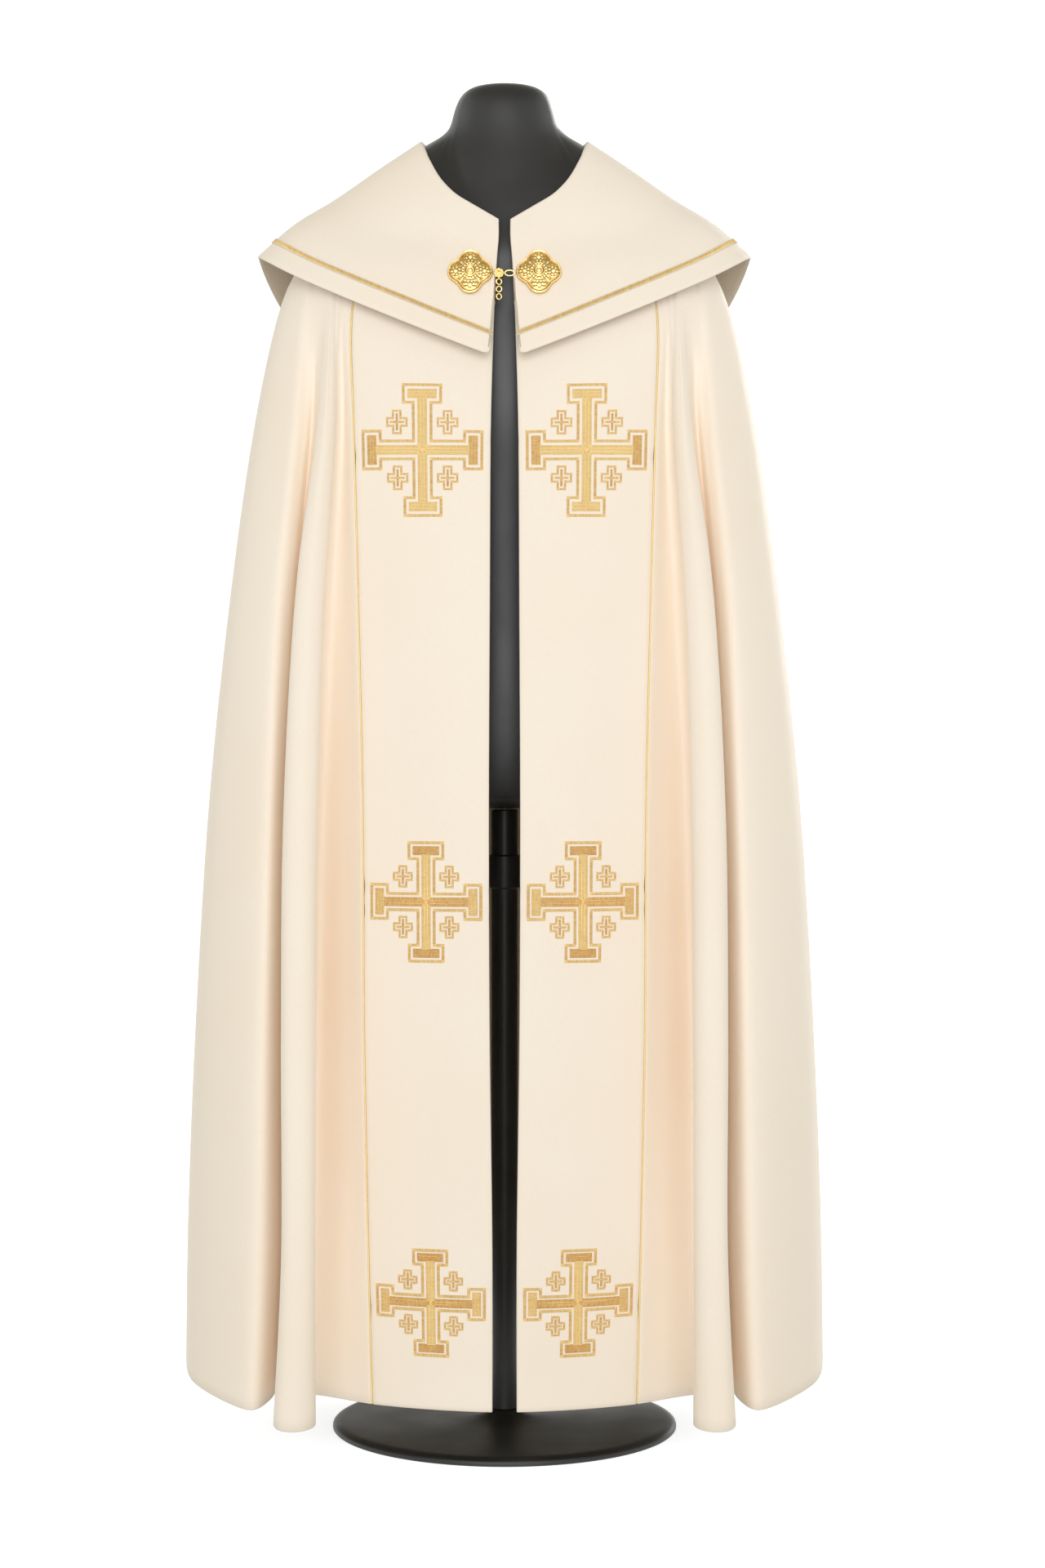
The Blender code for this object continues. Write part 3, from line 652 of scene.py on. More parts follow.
@dataclass(frozen=True)
class Finish:
    """A material: a base colour and the settings that are the same all over."""

    name: str
    colour: tuple[float, float, float]
    roughness: float
    metallic: float = 0.0
    settings: tuple[tuple[str, float], ...] = ()

    @property
    def rgba(self) -> tuple[float, float, float, float]:
        """The colour with its alpha."""
        return (*self.colour, 1.0)

    def start(self) -> tuple[bpy.types.Material, Graph, bpy.types.Node]:
        """Makes the material with its shader.

        Returns:
            The material, its graph and the shader node.
        """
        material = bpy.data.materials.new(self.name)
        material.use_nodes = True
        shader = material.node_tree.nodes["Principled BSDF"]
        shader.inputs["Base Color"].default_value = self.rgba
        shader.inputs["Roughness"].default_value = self.roughness
        shader.inputs["Metallic"].default_value = self.metallic
        for name, value in self.settings:
            shader.inputs[name].default_value = value
        material.diffuse_color = self.rgba
        return material, Graph(material.node_tree), shader

    def vary_roughness(self, graph: Graph, shader: bpy.types.Node, noise: bpy.types.NodeSocket,
                       less: float, more: float) -> None:
        """Lets the roughness change from place to place.

        Args:
            graph: The material's graph.
            shader: The shader node.
            noise: The noise that it follows.
            less: How far it falls below the finish's own roughness.
            more: How far it rises above it.
        """
        rough = graph.ramp(noise, 0.3, 0.7, self.roughness - less, self.roughness + more)
        graph.join(rough, shader, "Roughness")


@dataclass(frozen=True)
class ClothFinish(Finish):
    """A woven cloth: fine crossed threads, a soft sheen and slow changes of tone."""

    shade: tuple[float, float, float] = (0.8, 0.7, 0.5)
    threads: float = 7000.0
    depth: float = 0.00005
    drift: float = 5.0
    grain: float = 420.0
    slub: float = 95.0

    def build(self) -> bpy.types.Material:
        """Makes the material.

        Returns:
            The material.
        """
        material, graph, shader = self.start()
        place = graph.output(graph.add("ShaderNodeUVMap", uv_map="cloth"), "UV")
        split = graph.add("ShaderNodeSeparateXYZ", {"Vector": place})
        solid = graph.solid()
        drift = graph.noise(solid, self.drift, 3.0)
        grain = graph.noise(solid, self.grain, 2.0)
        slub = graph.noise(solid, self.slub, 3.0)
        warp = graph.math("SINE", graph.math("MULTIPLY", graph.output(split, "X"), self.threads))
        weft = graph.math("SINE", graph.math("MULTIPLY", graph.output(split, "Y"), self.threads))
        weave = graph.math("MULTIPLY", warp, weft)
        share = graph.math("ADD", graph.ramp(drift, 0.3, 0.75, 0.0, 0.22),
                           graph.ramp(grain, 0.35, 0.7, 0.0, 0.16))
        colour = graph.blend(share, self.rgba, (*self.shade, 1.0))
        graph.join(colour, shader, "Base Color")
        self.vary_roughness(graph, shader, slub, 0.06, 0.06)
        height = graph.math("ADD", graph.math("MULTIPLY", weave, 0.35), grain)
        height = graph.math("ADD", height, graph.math("MULTIPLY", slub, 1.4))
        graph.emboss(shader, height, 0.55, self.depth)
        return material


@dataclass(frozen=True)
class ThreadFinish(Finish):
    """Metallic embroidery thread, whose tone differs from stitch to stitch, partly at random and
    partly as painted sheen and shade, with painted glints in fine flecks.
    """

    dark: tuple[float, float, float] = (0.4, 0.2, 0.05)
    glint: float = 900.0
    drift: float = 60.0
    depth: float = 0.0001

    def build(self) -> bpy.types.Material:
        """Makes the material.

        Returns:
            The material.
        """
        material, graph, shader = self.start()
        solid = graph.solid()
        # Painted glints: fine flecks of noise brighten and darken the colour; they also vary the
        # roughness and the relief.
        fleck = graph.noise(solid, self.glint, 2.0)
        drift = graph.noise(solid, self.drift, 2.0)
        share = graph.math("ADD", graph.tone(), graph.ramp(fleck, 0.35, 0.65, -0.16, 0.16))
        share = graph.math("ADD", share, graph.ramp(drift, 0.3, 0.7, -0.06, 0.06))
        colour = graph.blend(graph.held(share), (*self.dark, 1.0), self.rgba)
        graph.join(colour, shader, "Base Color")
        self.vary_roughness(graph, shader, fleck, 0.1, 0.12)
        graph.emboss(shader, fleck, 0.4, self.depth)
        return material


@dataclass(frozen=True)
class GiltFinish(Finish):
    """Cast gilt metal, with painted highlight on its high places and painted shade, browner, in its
    hollows.
    """

    # The brown painted into the hollows, as painted shade.
    hollow: tuple[float, float, float] = (0.3, 0.15, 0.03)
    grain: float = 700.0
    wear: float = 150.0
    depth: float = 0.0002

    def build(self) -> bpy.types.Material:
        """Makes the material.

        Returns:
            The material.
        """
        material, graph, shader = self.start()
        solid = graph.solid()
        wear = graph.noise(solid, self.wear, 2.0)
        # The tone that the cast pieces carry sets the painted highlight and shade; the wear noise
        # varies it at random.
        share = graph.math("ADD", graph.tone(), graph.ramp(wear, 0.3, 0.7, -0.12, 0.12))
        colour = graph.blend(graph.held(share), (*self.hollow, 1.0), self.rgba)
        graph.join(colour, shader, "Base Color")
        self.vary_roughness(graph, shader, wear, 0.07, 0.12)
        graph.emboss(shader, graph.noise(solid, self.grain, 3.0), 0.5, self.depth)
        return material


@dataclass(frozen=True)
class CoatFinish(Finish):
    """A smooth painted or moulded surface with a fine pebble and slight scuffs."""

    pebble: float = 900.0
    depth: float = 0.00008
    scuff: tuple[float, float, float] = (0.05, 0.05, 0.05)
    scuffs: float = 9.0

    def build(self) -> bpy.types.Material:
        """Makes the material.

        Returns:
            The material.
        """
        material, graph, shader = self.start()
        solid = graph.solid()
        scuffs = graph.noise(solid, self.scuffs, 5.0)
        share = graph.ramp(scuffs, 0.45, 0.75, 0.0, 1.0)
        graph.join(graph.blend(share, self.rgba, (*self.scuff, 1.0)), shader, "Base Color")
        self.vary_roughness(graph, shader, scuffs, 0.05, 0.09)
        graph.emboss(shader, graph.noise(solid, self.pebble, 2.0), 0.4, self.depth)
        return material


SHEEN = (("Sheen Weight", 0.25), ("Sheen Roughness", 0.4), ("Specular IOR Level", 0.25))
THREAD_GLOSS = (("Specular IOR Level", 0.6), ("Anisotropic", 0.4))


class Wardrobe:
    """The finishes of all the pieces, each made once."""

    def __init__(self) -> None:
        """Makes the materials."""
        self.ivory = ClothFinish("ivory_cloth", (0.955, 0.885, 0.81), 0.62, settings=SHEEN,
                                 shade=(0.90, 0.79, 0.635)).build()
        self.lining = ClothFinish("mantle_lining", (0.86, 0.80, 0.70), 0.55, settings=SHEEN,
                                  shade=(0.78, 0.70, 0.58)).build()
        # The collar's grey-beige lining colour, partly real and partly darkened as painted shade
        # for the shadow under the collar.
        self.shaded_grey_lining = ClothFinish("collar_lining", (0.62, 0.56, 0.48), 0.6, settings=SHEEN,
                                       shade=(0.52, 0.46, 0.39)).build()
        self.thread = ThreadFinish("gold_thread", (1.0, 0.79, 0.37), 0.4, 0.1, THREAD_GLOSS,
                                   dark=(0.70, 0.36, 0.07)).build()
        self.gilt = GiltFinish("gilt_metal", (1.0, 0.77, 0.35), 0.24, 1.0,
                               hollow=(0.50, 0.27, 0.05)).build()
        self.form = CoatFinish("form_black", (0.012, 0.012, 0.013), 0.36,
                               scuff=(0.02, 0.019, 0.018)).build()
        self.steel = CoatFinish("stand_steel", (0.02, 0.02, 0.021), 0.42, 0.3,
                                scuff=(0.035, 0.034, 0.033)).build()


@dataclass
class Tree:
    """A geometry nodes tree with named inputs, ready to be run on a mesh."""

    name: str
    numbers: dict[str, float]
    group: bpy.types.GeometryNodeTree = field(init=False)
    graph: Graph = field(init=False)
    entry: bpy.types.Node = field(init=False)

    def __post_init__(self) -> None:
        """Makes the tree with a geometry input, its numbers and a material."""
        self.group = bpy.data.node_groups.new(self.name, "GeometryNodeTree")
        sockets = self.group.interface
        sockets.new_socket("Geometry", in_out="INPUT", socket_type="NodeSocketGeometry")
        for name in self.numbers:
            sockets.new_socket(name, in_out="INPUT", socket_type="NodeSocketFloat")
        sockets.new_socket("Material", in_out="INPUT", socket_type="NodeSocketMaterial")
        sockets.new_socket("Geometry", in_out="OUTPUT", socket_type="NodeSocketGeometry")
        self.graph = Graph(self.group)
        self.entry = self.graph.add("NodeGroupInput")

    def given(self, name: str) -> bpy.types.NodeSocket:
        """The tree's input of that name, as a socket to join from."""
        return self.entry.outputs[name]

    def close(self, geometry: bpy.types.NodeSocket) -> None:
        """Ends the tree with real, smooth geometry in its material.

        Args:
            geometry: The socket that gives the geometry.
        """
        real = self.graph.add("GeometryNodeRealizeInstances", {"Geometry": geometry})
        smooth = self.graph.add("GeometryNodeSetShadeSmooth", {0: self.graph.output(real)})
        dressed = self.graph.add("GeometryNodeSetMaterial", {"Geometry": self.graph.output(smooth),
                                                             "Material": self.given("Material")})
        self.graph.add("NodeGroupOutput", {0: self.graph.output(dressed)})

    def run(self, made: bpy.types.Object, material: bpy.types.Material,
            **numbers: float) -> bpy.types.Object:
        """Runs the tree on an object and keeps the result as its plain mesh.

        Args:
            made: The object, whose mesh is the path.
            material: The material that the result takes.
            **numbers: Inputs that differ from the tree's own numbers.

        Returns:
            The same object.
        """
        modifier = made.modifiers.new(self.name, "NODES")
        modifier.node_group = self.group
        values = {**self.numbers, **numbers, "Material": material}
        for item in self.group.interface.items_tree:
            if item.in_out == "INPUT" and item.name in values:
                modifier[item.identifier] = values[item.name]
        bpy.context.view_layer.update()
        graph = bpy.context.evaluated_depsgraph_get()
        mesh = bpy.data.meshes.new_from_object(
            made.evaluated_get(graph), preserve_all_data_layers=True, depsgraph=graph)
        made.modifiers.remove(modifier)
        mesh.name = made.name
        made.data = mesh
        if not mesh.materials:
            mesh.materials.append(material)
        return made


def stitching_tree() -> Tree:
    """Makes the tree that lays thread after thread across a path.

    Returns:
        The tree, which reads the path's attributes out, reach and tone.
    """
    tree = Tree("stitches", {"Pitch": 0.0007, "Thread": 0.00036, "Rise": 0.0005, "Slant": 0.0,
                             "Jitter": 0.08, "Shaded ends": 0.15})
    graph = tree.graph
    curve = graph.add("GeometryNodeMeshToCurve", {0: tree.given("Geometry")})
    even = graph.add("GeometryNodeResampleCurve", {"Curve": graph.output(curve),
                                                   "Length": tree.given("Pitch")}, mode="LENGTH")
    points = graph.add("GeometryNodeCurveToPoints", {"Curve": graph.output(even)}, mode="EVALUATED")
    upright = graph.add("FunctionNodeAlignRotationToVector",
                        {"Vector": graph.stored("out", "FLOAT_VECTOR")}, axis="Z")
    along = graph.add("FunctionNodeAlignRotationToVector",
                      {"Rotation": graph.output(upright),
                       "Vector": graph.output(points, "Tangent")}, axis="X", pivot_axis="Z")
    least = graph.math("MULTIPLY", tree.given("Jitter"), -1.0)
    swing = graph.add("FunctionNodeRandomValue", {2: least, 3: tree.given("Jitter"), "Seed": 3},
                      data_type="FLOAT")
    turn = graph.add("ShaderNodeCombineXYZ",
                     {"Z": graph.math("ADD", graph.output(swing), tree.given("Slant"))})
    spin = graph.add("FunctionNodeEulerToRotation", {0: graph.output(turn)})
    facing = graph.add("FunctionNodeRotateRotation", {"Rotation": graph.output(along),
                                                      "Rotate By": graph.output(spin)},
                       rotation_space="LOCAL")
    core = graph.add("GeometryNodeCurvePrimitiveLine",
                     {"Start": (0.0, -0.5, 0.0), "End": (0.0, 0.5, 0.0)})
    halves = graph.add("GeometryNodeResampleCurve", {"Curve": graph.output(core), "Count": 3},
                       mode="COUNT")
    ring = graph.add("GeometryNodeCurvePrimitiveCircle", {"Resolution": 3, "Radius": 1.0},
                     mode="RADIUS")
    flat_out = graph.add("GeometryNodeSetCurveTilt",
                         {"Curve": graph.output(halves), "Tilt": math.pi / 6})
    thread = graph.add("GeometryNodeCurveToMesh", {"Curve": graph.output(flat_out),
                                                   "Profile Curve": graph.output(ring),
                                                   "Fill Caps": True})
    position = graph.output(graph.add("GeometryNodeInputPosition"))
    place = graph.add("ShaderNodeSeparateXYZ", {"Vector": position})
    away = graph.math("MULTIPLY", graph.output(place, "Y"), graph.output(place, "Y"))
    height = graph.math("SUBTRACT", 1.0, graph.math("MULTIPLY", away, 4.0))
    rise = graph.add("ShaderNodeCombineXYZ", {"Z": height})
    arched = graph.add("GeometryNodeSetPosition", {"Geometry": graph.output(thread),
                                                   "Offset": graph.output(rise)})
    # Each thread's end attribute is 0 at its middle and 1 at its ends; it sets the painted shade at
    # the ends below.
    ended = graph.add("GeometryNodeStoreNamedAttribute",
                      {"Geometry": graph.output(arched), "Name": "end",
                       "Value": graph.math("MULTIPLY", away, 4.0)},
                      data_type="FLOAT", domain="POINT")
    size = graph.add("ShaderNodeCombineXYZ", {"X": tree.given("Thread"), "Y": graph.stored("reach"),
                                              "Z": tree.given("Rise")})
    laid = graph.add("GeometryNodeInstanceOnPoints",
                     {"Points": graph.output(points, "Points"), "Instance": graph.output(ended),
                      "Rotation": graph.output(facing), "Scale": graph.output(size)})
    shade = graph.add("FunctionNodeRandomValue", {2: -0.2, 3: 0.2, "Seed": 11},
                      data_type="FLOAT")
    toned = graph.add("GeometryNodeStoreNamedAttribute",
                      {"Geometry": graph.output(laid), "Name": "tone",
                       "Value": graph.math("ADD", graph.stored("tone"), graph.output(shade))},
                      data_type="FLOAT", domain="INSTANCE")
    real = graph.add("GeometryNodeRealizeInstances", {"Geometry": graph.output(toned)})
    # Painted shade: the tone is darkened towards each thread's ends, where it dips into the cloth.
    painted_end_shade = graph.math("MULTIPLY", graph.stored("end"), tree.given("Shaded ends"))
    final = graph.add("GeometryNodeStoreNamedAttribute",
                      {"Geometry": graph.output(real), "Name": "tone",
                       "Value": graph.math("SUBTRACT", graph.stored("tone"), painted_end_shade)},
                      data_type="FLOAT", domain="POINT")
    tree.close(graph.output(final))
    return tree


def cord_tree() -> Tree:
    """Makes the tree that twists a cord of a few strands along a path.

    Returns:
        The tree.
    """
    tree = Tree("twisted_cord", {"Radius": 0.0009, "Step": 0.0008, "Twist": 0.55, "Lobe": 0.25})
    graph = tree.graph
    curve = graph.add("GeometryNodeMeshToCurve", {0: tree.given("Geometry")})
    even = graph.add("GeometryNodeResampleCurve", {"Curve": graph.output(curve),
                                                   "Length": tree.given("Step")}, mode="LENGTH")
    number = graph.output(graph.add("GeometryNodeInputIndex"))
    twist = graph.math("MULTIPLY", number, tree.given("Twist"))
    tilted = graph.add("GeometryNodeSetCurveTilt", {"Curve": graph.output(even), "Tilt": twist})
    ring = graph.add("GeometryNodeCurvePrimitiveCircle",
                     {"Resolution": 9, "Radius": tree.given("Radius")}, mode="RADIUS")
    wave = graph.math("SINE", graph.math("MULTIPLY", number, math.tau / 3))
    grown = graph.math("ADD", graph.math("MULTIPLY", wave, tree.given("Lobe")), 1.0)
    place = graph.output(graph.add("GeometryNodeInputPosition"))
    lobed = graph.add("ShaderNodeVectorMath", {0: place, "Scale": grown}, operation="SCALE")
    strands = graph.add("GeometryNodeSetPosition", {"Geometry": graph.output(ring),
                                                    "Position": graph.output(lobed)})
    swept = graph.add("GeometryNodeCurveToMesh", {"Curve": graph.output(tilted),
                                                  "Profile Curve": graph.output(strands),
                                                  "Fill Caps": True})
    tone = graph.add("GeometryNodeStoreNamedAttribute",
                     {"Geometry": graph.output(swept), "Name": "tone", "Value": 0.9},
                     data_type="FLOAT", domain="POINT")
    tree.close(graph.output(tone))
    return tree


def path_object(name: str, lines: Iterable[dict[str, Any]], side: Side) -> bpy.types.Object:
    """Makes a mesh of open lines that the trees follow.

    Args:
        name: The piece's name.
        lines: Each line's points and outward directions, its stitch reach and its tone.
        side: The half that it belongs to.

    Returns:
        The object, with the attributes out, reach and tone on its points.
    """
    points, edges, outs, reaches, tones = [], [], [], [], []
    for line in lines:
        start = len(points)
        points += [tuple(p) for p in line["points"]]
        outs += [tuple(o) for o in line["outs"]]
        count = len(line["points"])
        reaches += [line.get("reach", 1.0) * MM] * count
        tones += [line.get("tone", 0.6)] * count
        edges += [(start + k, start + k + 1) for k in range(count - 1)]
    flip = np.array((side.value, 1.0, 1.0))
    mesh = bpy.data.meshes.new(name)
    mesh.from_pydata((np.array(points) * flip * MM).tolist(), edges, [])
    outward = mesh.attributes.new("out", "FLOAT_VECTOR", "POINT")
    outward.data.foreach_set("vector", (np.array(outs) * flip).ravel())
    for kind, values in (("reach", reaches), ("tone", tones)):
        mesh.attributes.new(kind, "FLOAT", "POINT").data.foreach_set("value", values)
    made = bpy.data.objects.new(name, mesh)
    bpy.context.scene.collection.objects.link(made)
    return made


def join(first: bpy.types.Object, others: Sequence[bpy.types.Object]) -> bpy.types.Object:
    """Joins meshes that share a material into the first one.

    Args:
        first: The object that stays.
        others: The objects that go into it.

    Returns:
        The first object.
    """
    body = bmesh.new()
    body.from_mesh(first.data)
    for other in others:
        body.from_mesh(other.data)
        bpy.data.objects.remove(other)
    body.to_mesh(first.data)
    body.free()
    return first


def finish_piece(piece: bpy.types.Object, slot: str, *nodes: str) -> None:
    """Fixes a piece to the frame and reports it.

    Args:
        piece: The piece.
        slot: Not used.
        *nodes: The solids that it stands for.
    """
    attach(piece, "root")
    if nodes:
        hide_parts(*nodes)
    piece.data.calc_loop_triangles()
    REPORT.info("%s: %d triangles, stands for %s", piece.name, len(piece.data.loop_triangles),
                ", ".join(nodes) or "nothing")


@dataclass
class Mantle:
    """One panel of the main cloth, from the orphrey's seam round to the middle back."""

    side: Side
    wardrobe: Wardrobe
    thickness: float = 1.6
    spacing: float = 13.0
    front_detail: int = 4
    back_columns: int = 90
    flat: tuple[float, float] = (1.50, 1.57)
    flat_area: float = 1.6
    # Soft creases: column share, height, half width, half height and depth.
    creases: tuple[tuple[float, ...], ...] = (
        (0.20, 1270, 0.012, 70, 1.2),
        (0.50, 900, 0.02, 220, -1.0),
        (0.56, 560, 0.02, 200, 1.0),
        (0.46, 1150, 0.015, 120, 0.8),
    )

    def grid(self) -> np.ndarray:
        """Makes the outer face of the right panel.

        Returns:
            Points, rows by columns.
        """
        positions = Drape.rows_every(self.spacing)
        grid = np.array([Drape.mantle_row(position, self.front_detail, self.back_columns)
                         for position in positions])
        for row, position in zip(grid, positions):
            away = unit(row[1] - row[0])
            row[0] += away * Drape.room(position, away)
            row[1] = (row[0] + row[2]) / 2
        return dented(grid, self.creases)

    def build(self) -> bpy.types.Object:
        """Returns:
            The panel.
        """
        shape = cloth_shell(self.grid(), self.thickness, straight=True)
        made = shape.object(f"mantle_cloth_{self.side.word}",
                            [self.wardrobe.ivory, self.wardrobe.lining], self.side)
        finish_piece(made, "ivory_cloth", f"mantle_{self.side.word}")
        self.flat
        self.flat_area
        return made


@dataclass
class Orphrey:
    """One front band, with a folded free edge."""

    side: Side
    wardrobe: Wardrobe
    thickness: float = 2.0
    spacing: float = 5.0
    columns: int = 30
    flat: tuple[float, float] = (0.155, 1.48)
    flat_area: float = 0.215
    # Soft dents where the band hangs: share across, height, half width, half height and depth.
    dents: tuple[tuple[float, ...], ...] = (
        (0.06, 640, 0.12, 16, 1.0),
        (0.5, 1010, 0.3, 60, -0.8),
        (0.4, 430, 0.3, 90, 0.9),
        (0.75, 860, 0.2, 90, 0.7),
        (0.3, 110, 0.4, 22, 0.9),
        (0.0, 668, 0.07, 8, 1.7),
        (0.0, 638, 0.06, 9, 1.4),
        (1.0, 672, 0.06, 9, 1.6),
        (1.0, 644, 0.05, 9, 1.2),
        (0.0, 1196, 0.06, 8, 1.2),
        (1.0, 1176, 0.06, 10, 1.4),
        (0.0, 205, 0.06, 8, 1.3),
        (1.0, 184, 0.06, 9, 1.4),
        (0.55, 1088, 0.22, 12, 0.8),
        (0.5, 560, 0.25, 14, 0.9),
    )

    def grid(self) -> np.ndarray:
        """Makes the outer face of the right band.

        Returns:
            Points, rows by columns.
        """
        shares = np.linspace(0, 1, self.columns)
        grid = np.array([[Drape.band_point(p, float(s)) for s in shares]
                         for p in Drape.rows_every(self.spacing)])
        return dented(grid, self.dents)

    def build(self) -> bpy.types.Object:
        """Returns:
            The band.
        """
        shape = cloth_shell(self.grid(), self.thickness)
        made = shape.object(f"orphrey_cloth_{self.side.word}",
                            [self.wardrobe.ivory, self.wardrobe.lining], self.side)
        finish_piece(made, "ivory_cloth", f"orphrey_{self.side.word}")
        self.flat
        self.flat_area
        return made


@dataclass
class Piping:
    """The twisted gold cord in the seam between an orphrey and the mantle."""

    side: Side
    wardrobe: Wardrobe
    tree: Tree
    under_collar: float = 1.4
    below: float = 0.5
    spacing: float = 12.0

    def build(self) -> bpy.types.Object:
        """Makes the cord.

        Returns:
            The cord.
        """
        positions = Drape.rows_every(self.spacing)
        points, outs = [], []
        for position in positions:
            band = Drape.band_point(position, 1.0) - Drape.band_point(position, 0.8)
            down = (Drape.seam(min(position + 0.05, Drape.last))
                    - Drape.seam(max(position - 0.05, 0)))
            cloth = Drape.mantle_row(position, 1, 2)
            facing = unit(unit(np.cross(down, band))
                          + unit(np.cross(down, cloth[1] - cloth[0])))
            sink = np.interp(position, (2.5, 4), (self.under_collar, self.below))
            points.append(Drape.seam(position) - facing * sink)
            outs.append(facing)
        made = path_object(f"piping_cord_{self.side.word}",
                           [{"points": points, "outs": outs}], self.side)
        self.tree.run(made, self.wardrobe.thread)
        finish_piece(made, "gold_thread", f"piping_{self.side.word}")
        return made


@dataclass
class Collar:
    """The cape collar over the shoulders: ivory outside and grey-beige lining inside, its lining
    colour partly real and partly painted shade.
    """

    side: Side
    wardrobe: Wardrobe
    stitches: Tree
    cord: Tree
    inner_x: float = 16.0
    half_width: float = 300.0
    front: float = 166.0
    back: float = 198.0
    z_front: float = 1288.0
    z_side: float = 1430.0
    z_back: float = 1215.0
    squareness: float = 2.15
    fall_front: float = 0.8
    fall_back: float = 1.6
    lift: float = 2.2
    thickness: float = 2.4
    rows: int = 44
    bows: tuple[float, float, float] = (2.0, 5.0, 7.0)
    braid_inset: float = 24.0
    braid_width: float = 6.5
    braid_lift: float = 0.75
    braid_tone: float = 0.88
    braid_slant: float = 0.5
    corner_round: float = 9.0
    neck_easing: float = 9.0
    flat: tuple[float, float] = (0.73, 0.36)
    flat_area: float = 0.153
    # Soft dents: angle from the front, number from neck to edge, their half widths and a depth.
    dents: tuple[tuple[float, ...], ...] = (
        (27, 2.6, 9, 0.6, 2.2),
        (52, 2.9, 10, 0.9, -1.8),
        (70, 3.3, 8, 0.9, 1.6),
        (12, 3.4, 9, 0.6, -1.2),
        (130, 3.0, 16, 1.0, 1.8),
    )

    @lru_cache(maxsize=None)
    def around(self, position: int) -> tuple[np.ndarray, np.ndarray]:
        """Finds a level's outer points from free edge to middle back.

        Args:
            position: The level.

        Returns:
            The points, and each one's angle from the front.
        """
        level = Drape.level(position)
        front = [Drape.band_point(position, share) for share in (0, 0.5, 1)]
        line = np.concatenate([front, Drape.mantle_row(position, 3, 60)])
        depths = np.where(line[:, 1] < 0, -level["inner_y"], level["back_y"])
        return line, np.degrees(np.arctan2(line[:, 0] / level["side_x"], -line[:, 1] / depths))

    def __hash__(self) -> int:
        """A collar is told apart by its side."""
        return hash(self.side)

    @lru_cache(maxsize=None)
    def line(self, degrees: float) -> list[np.ndarray]:
        """Lists the points that the inner face follows at an angle.

        Args:
            degrees: The angle from the front.

        Returns:
            Control points from above the neck to past the edge.
        """
        angle = math.radians(degrees)
        power = 2 / self.squareness
        depth = self.front if degrees < 90 else self.back
        x = max(self.half_width * abs(math.sin(angle)) ** power,
                self.inner_x if degrees < 90 else HALF_SEAM)
        y = -math.copysign(depth * abs(math.cos(angle)) ** power, math.cos(angle))
        z = self.z_side + (self.z_back - self.z_side) * abs(y / depth) ** self.fall_back
        if degrees < 90:
            fall = (1 - x / self.half_width) ** self.fall_front
            z = self.z_side + (self.z_front - self.z_side) * fall
        out = np.array((math.sin(angle), -math.cos(angle), 1.0)) / math.sqrt(2)
        end = np.array((x, y, z))
        line = []
        reach = min(self.neck_easing, degrees, 180 - degrees)
        near = degrees + np.array((-1.0, -0.5, 0.0, 0.5, 1.0)) * reach
        for position in (0, 1, 2):
            points, angles = self.around(position)
            eased = [np.interp(near, angles, points[:, k]).mean() for k in range(3)]
            line.append(np.array(eased) + out * self.lift)
        front, side, back = self.bows
        bow = side + ((front if degrees < 90 else back) - side) * math.cos(angle) ** 2
        line.append(line[-1] + (end - line[-1]) * 0.5 + out * bow)
        return [line[0] * 2 - line[1], *line, end, end * 2 - line[-1]]

    def point(self, degrees: float, number: float) -> np.ndarray:
        """Finds a point of the inner face.

        Args:
            degrees: The angle from the front.
            number: 0 at the neck and 4 at the edge.

        Returns:
            The point.
        """
        line = self.line(degrees)
        low = min(int(number), len(line) - 4)
        point = catmull(*line[low:low + 4], number - low)
        if degrees == 180:
            point[0] = HALF_SEAM
        return point

    def number_at(self, degrees: float, inset: float) -> float:
        """Finds the number whose point lies a way in from the edge.

        Args:
            degrees: The angle from the front.
            inset: How far in it lies, along the cloth.

        Returns:
            The number, 0 at the neck and 4 at the edge.
        """
        numbers = np.linspace(0, 4, 81)
        line = np.array([self.point(degrees, n) for n in numbers])
        steps = np.linalg.norm(np.diff(line, axis=0), axis=1)
        left = np.concatenate([np.cumsum(steps[::-1])[::-1], [0]])
        return float(np.interp(-inset, -left, numbers))

    def surface(self, angles: Sequence[float],
                rows: np.ndarray) -> tuple[np.ndarray, np.ndarray]:
        """Makes the outer face over a set of angles and numbers.

        Args:
            angles: The columns' angles.
            rows: Numbers, rows by columns.

        Returns:
            The points and their normals.
        """
        inner = np.array([[self.point(a, n) for a, n in zip(angles, row)] for row in rows])
        normals = normals_of(inner)
        if angles[-1] == 180:
            normals[:, -1, 0] = 0
            normals /= np.linalg.norm(normals, axis=2, keepdims=True)
        lift = np.full(rows.shape, self.thickness)
        for angle, number, wide, tall, depth in self.dents:
            lift += depth * bell(np.array(angles) - angle, wide) * bell(rows - number, tall)
        return inner + normals * lift[:, :, None], normals

    def angles(self) -> list[float]:
        """The columns' angles, closer together at the front corner."""
        return [*np.arange(0, 6, 1.0), *np.arange(6, 174, 1.75), *np.arange(174, 180, 2.0), 180]

    def rounded(self, degrees: float) -> float:
        """Finds where a column ends, which rounds the front corner off.

        Args:
            degrees: The angle from the front.

        Returns:
            The number, 4 at the edge.
        """
        x = self.point(degrees, 4)[0] - self.inner_x
        if x >= self.corner_round:
            return 4.0
        kept = math.sqrt(max(self.corner_round**2 - (self.corner_round - x) ** 2, 0.0))
        return self.number_at(degrees, self.corner_round - kept)

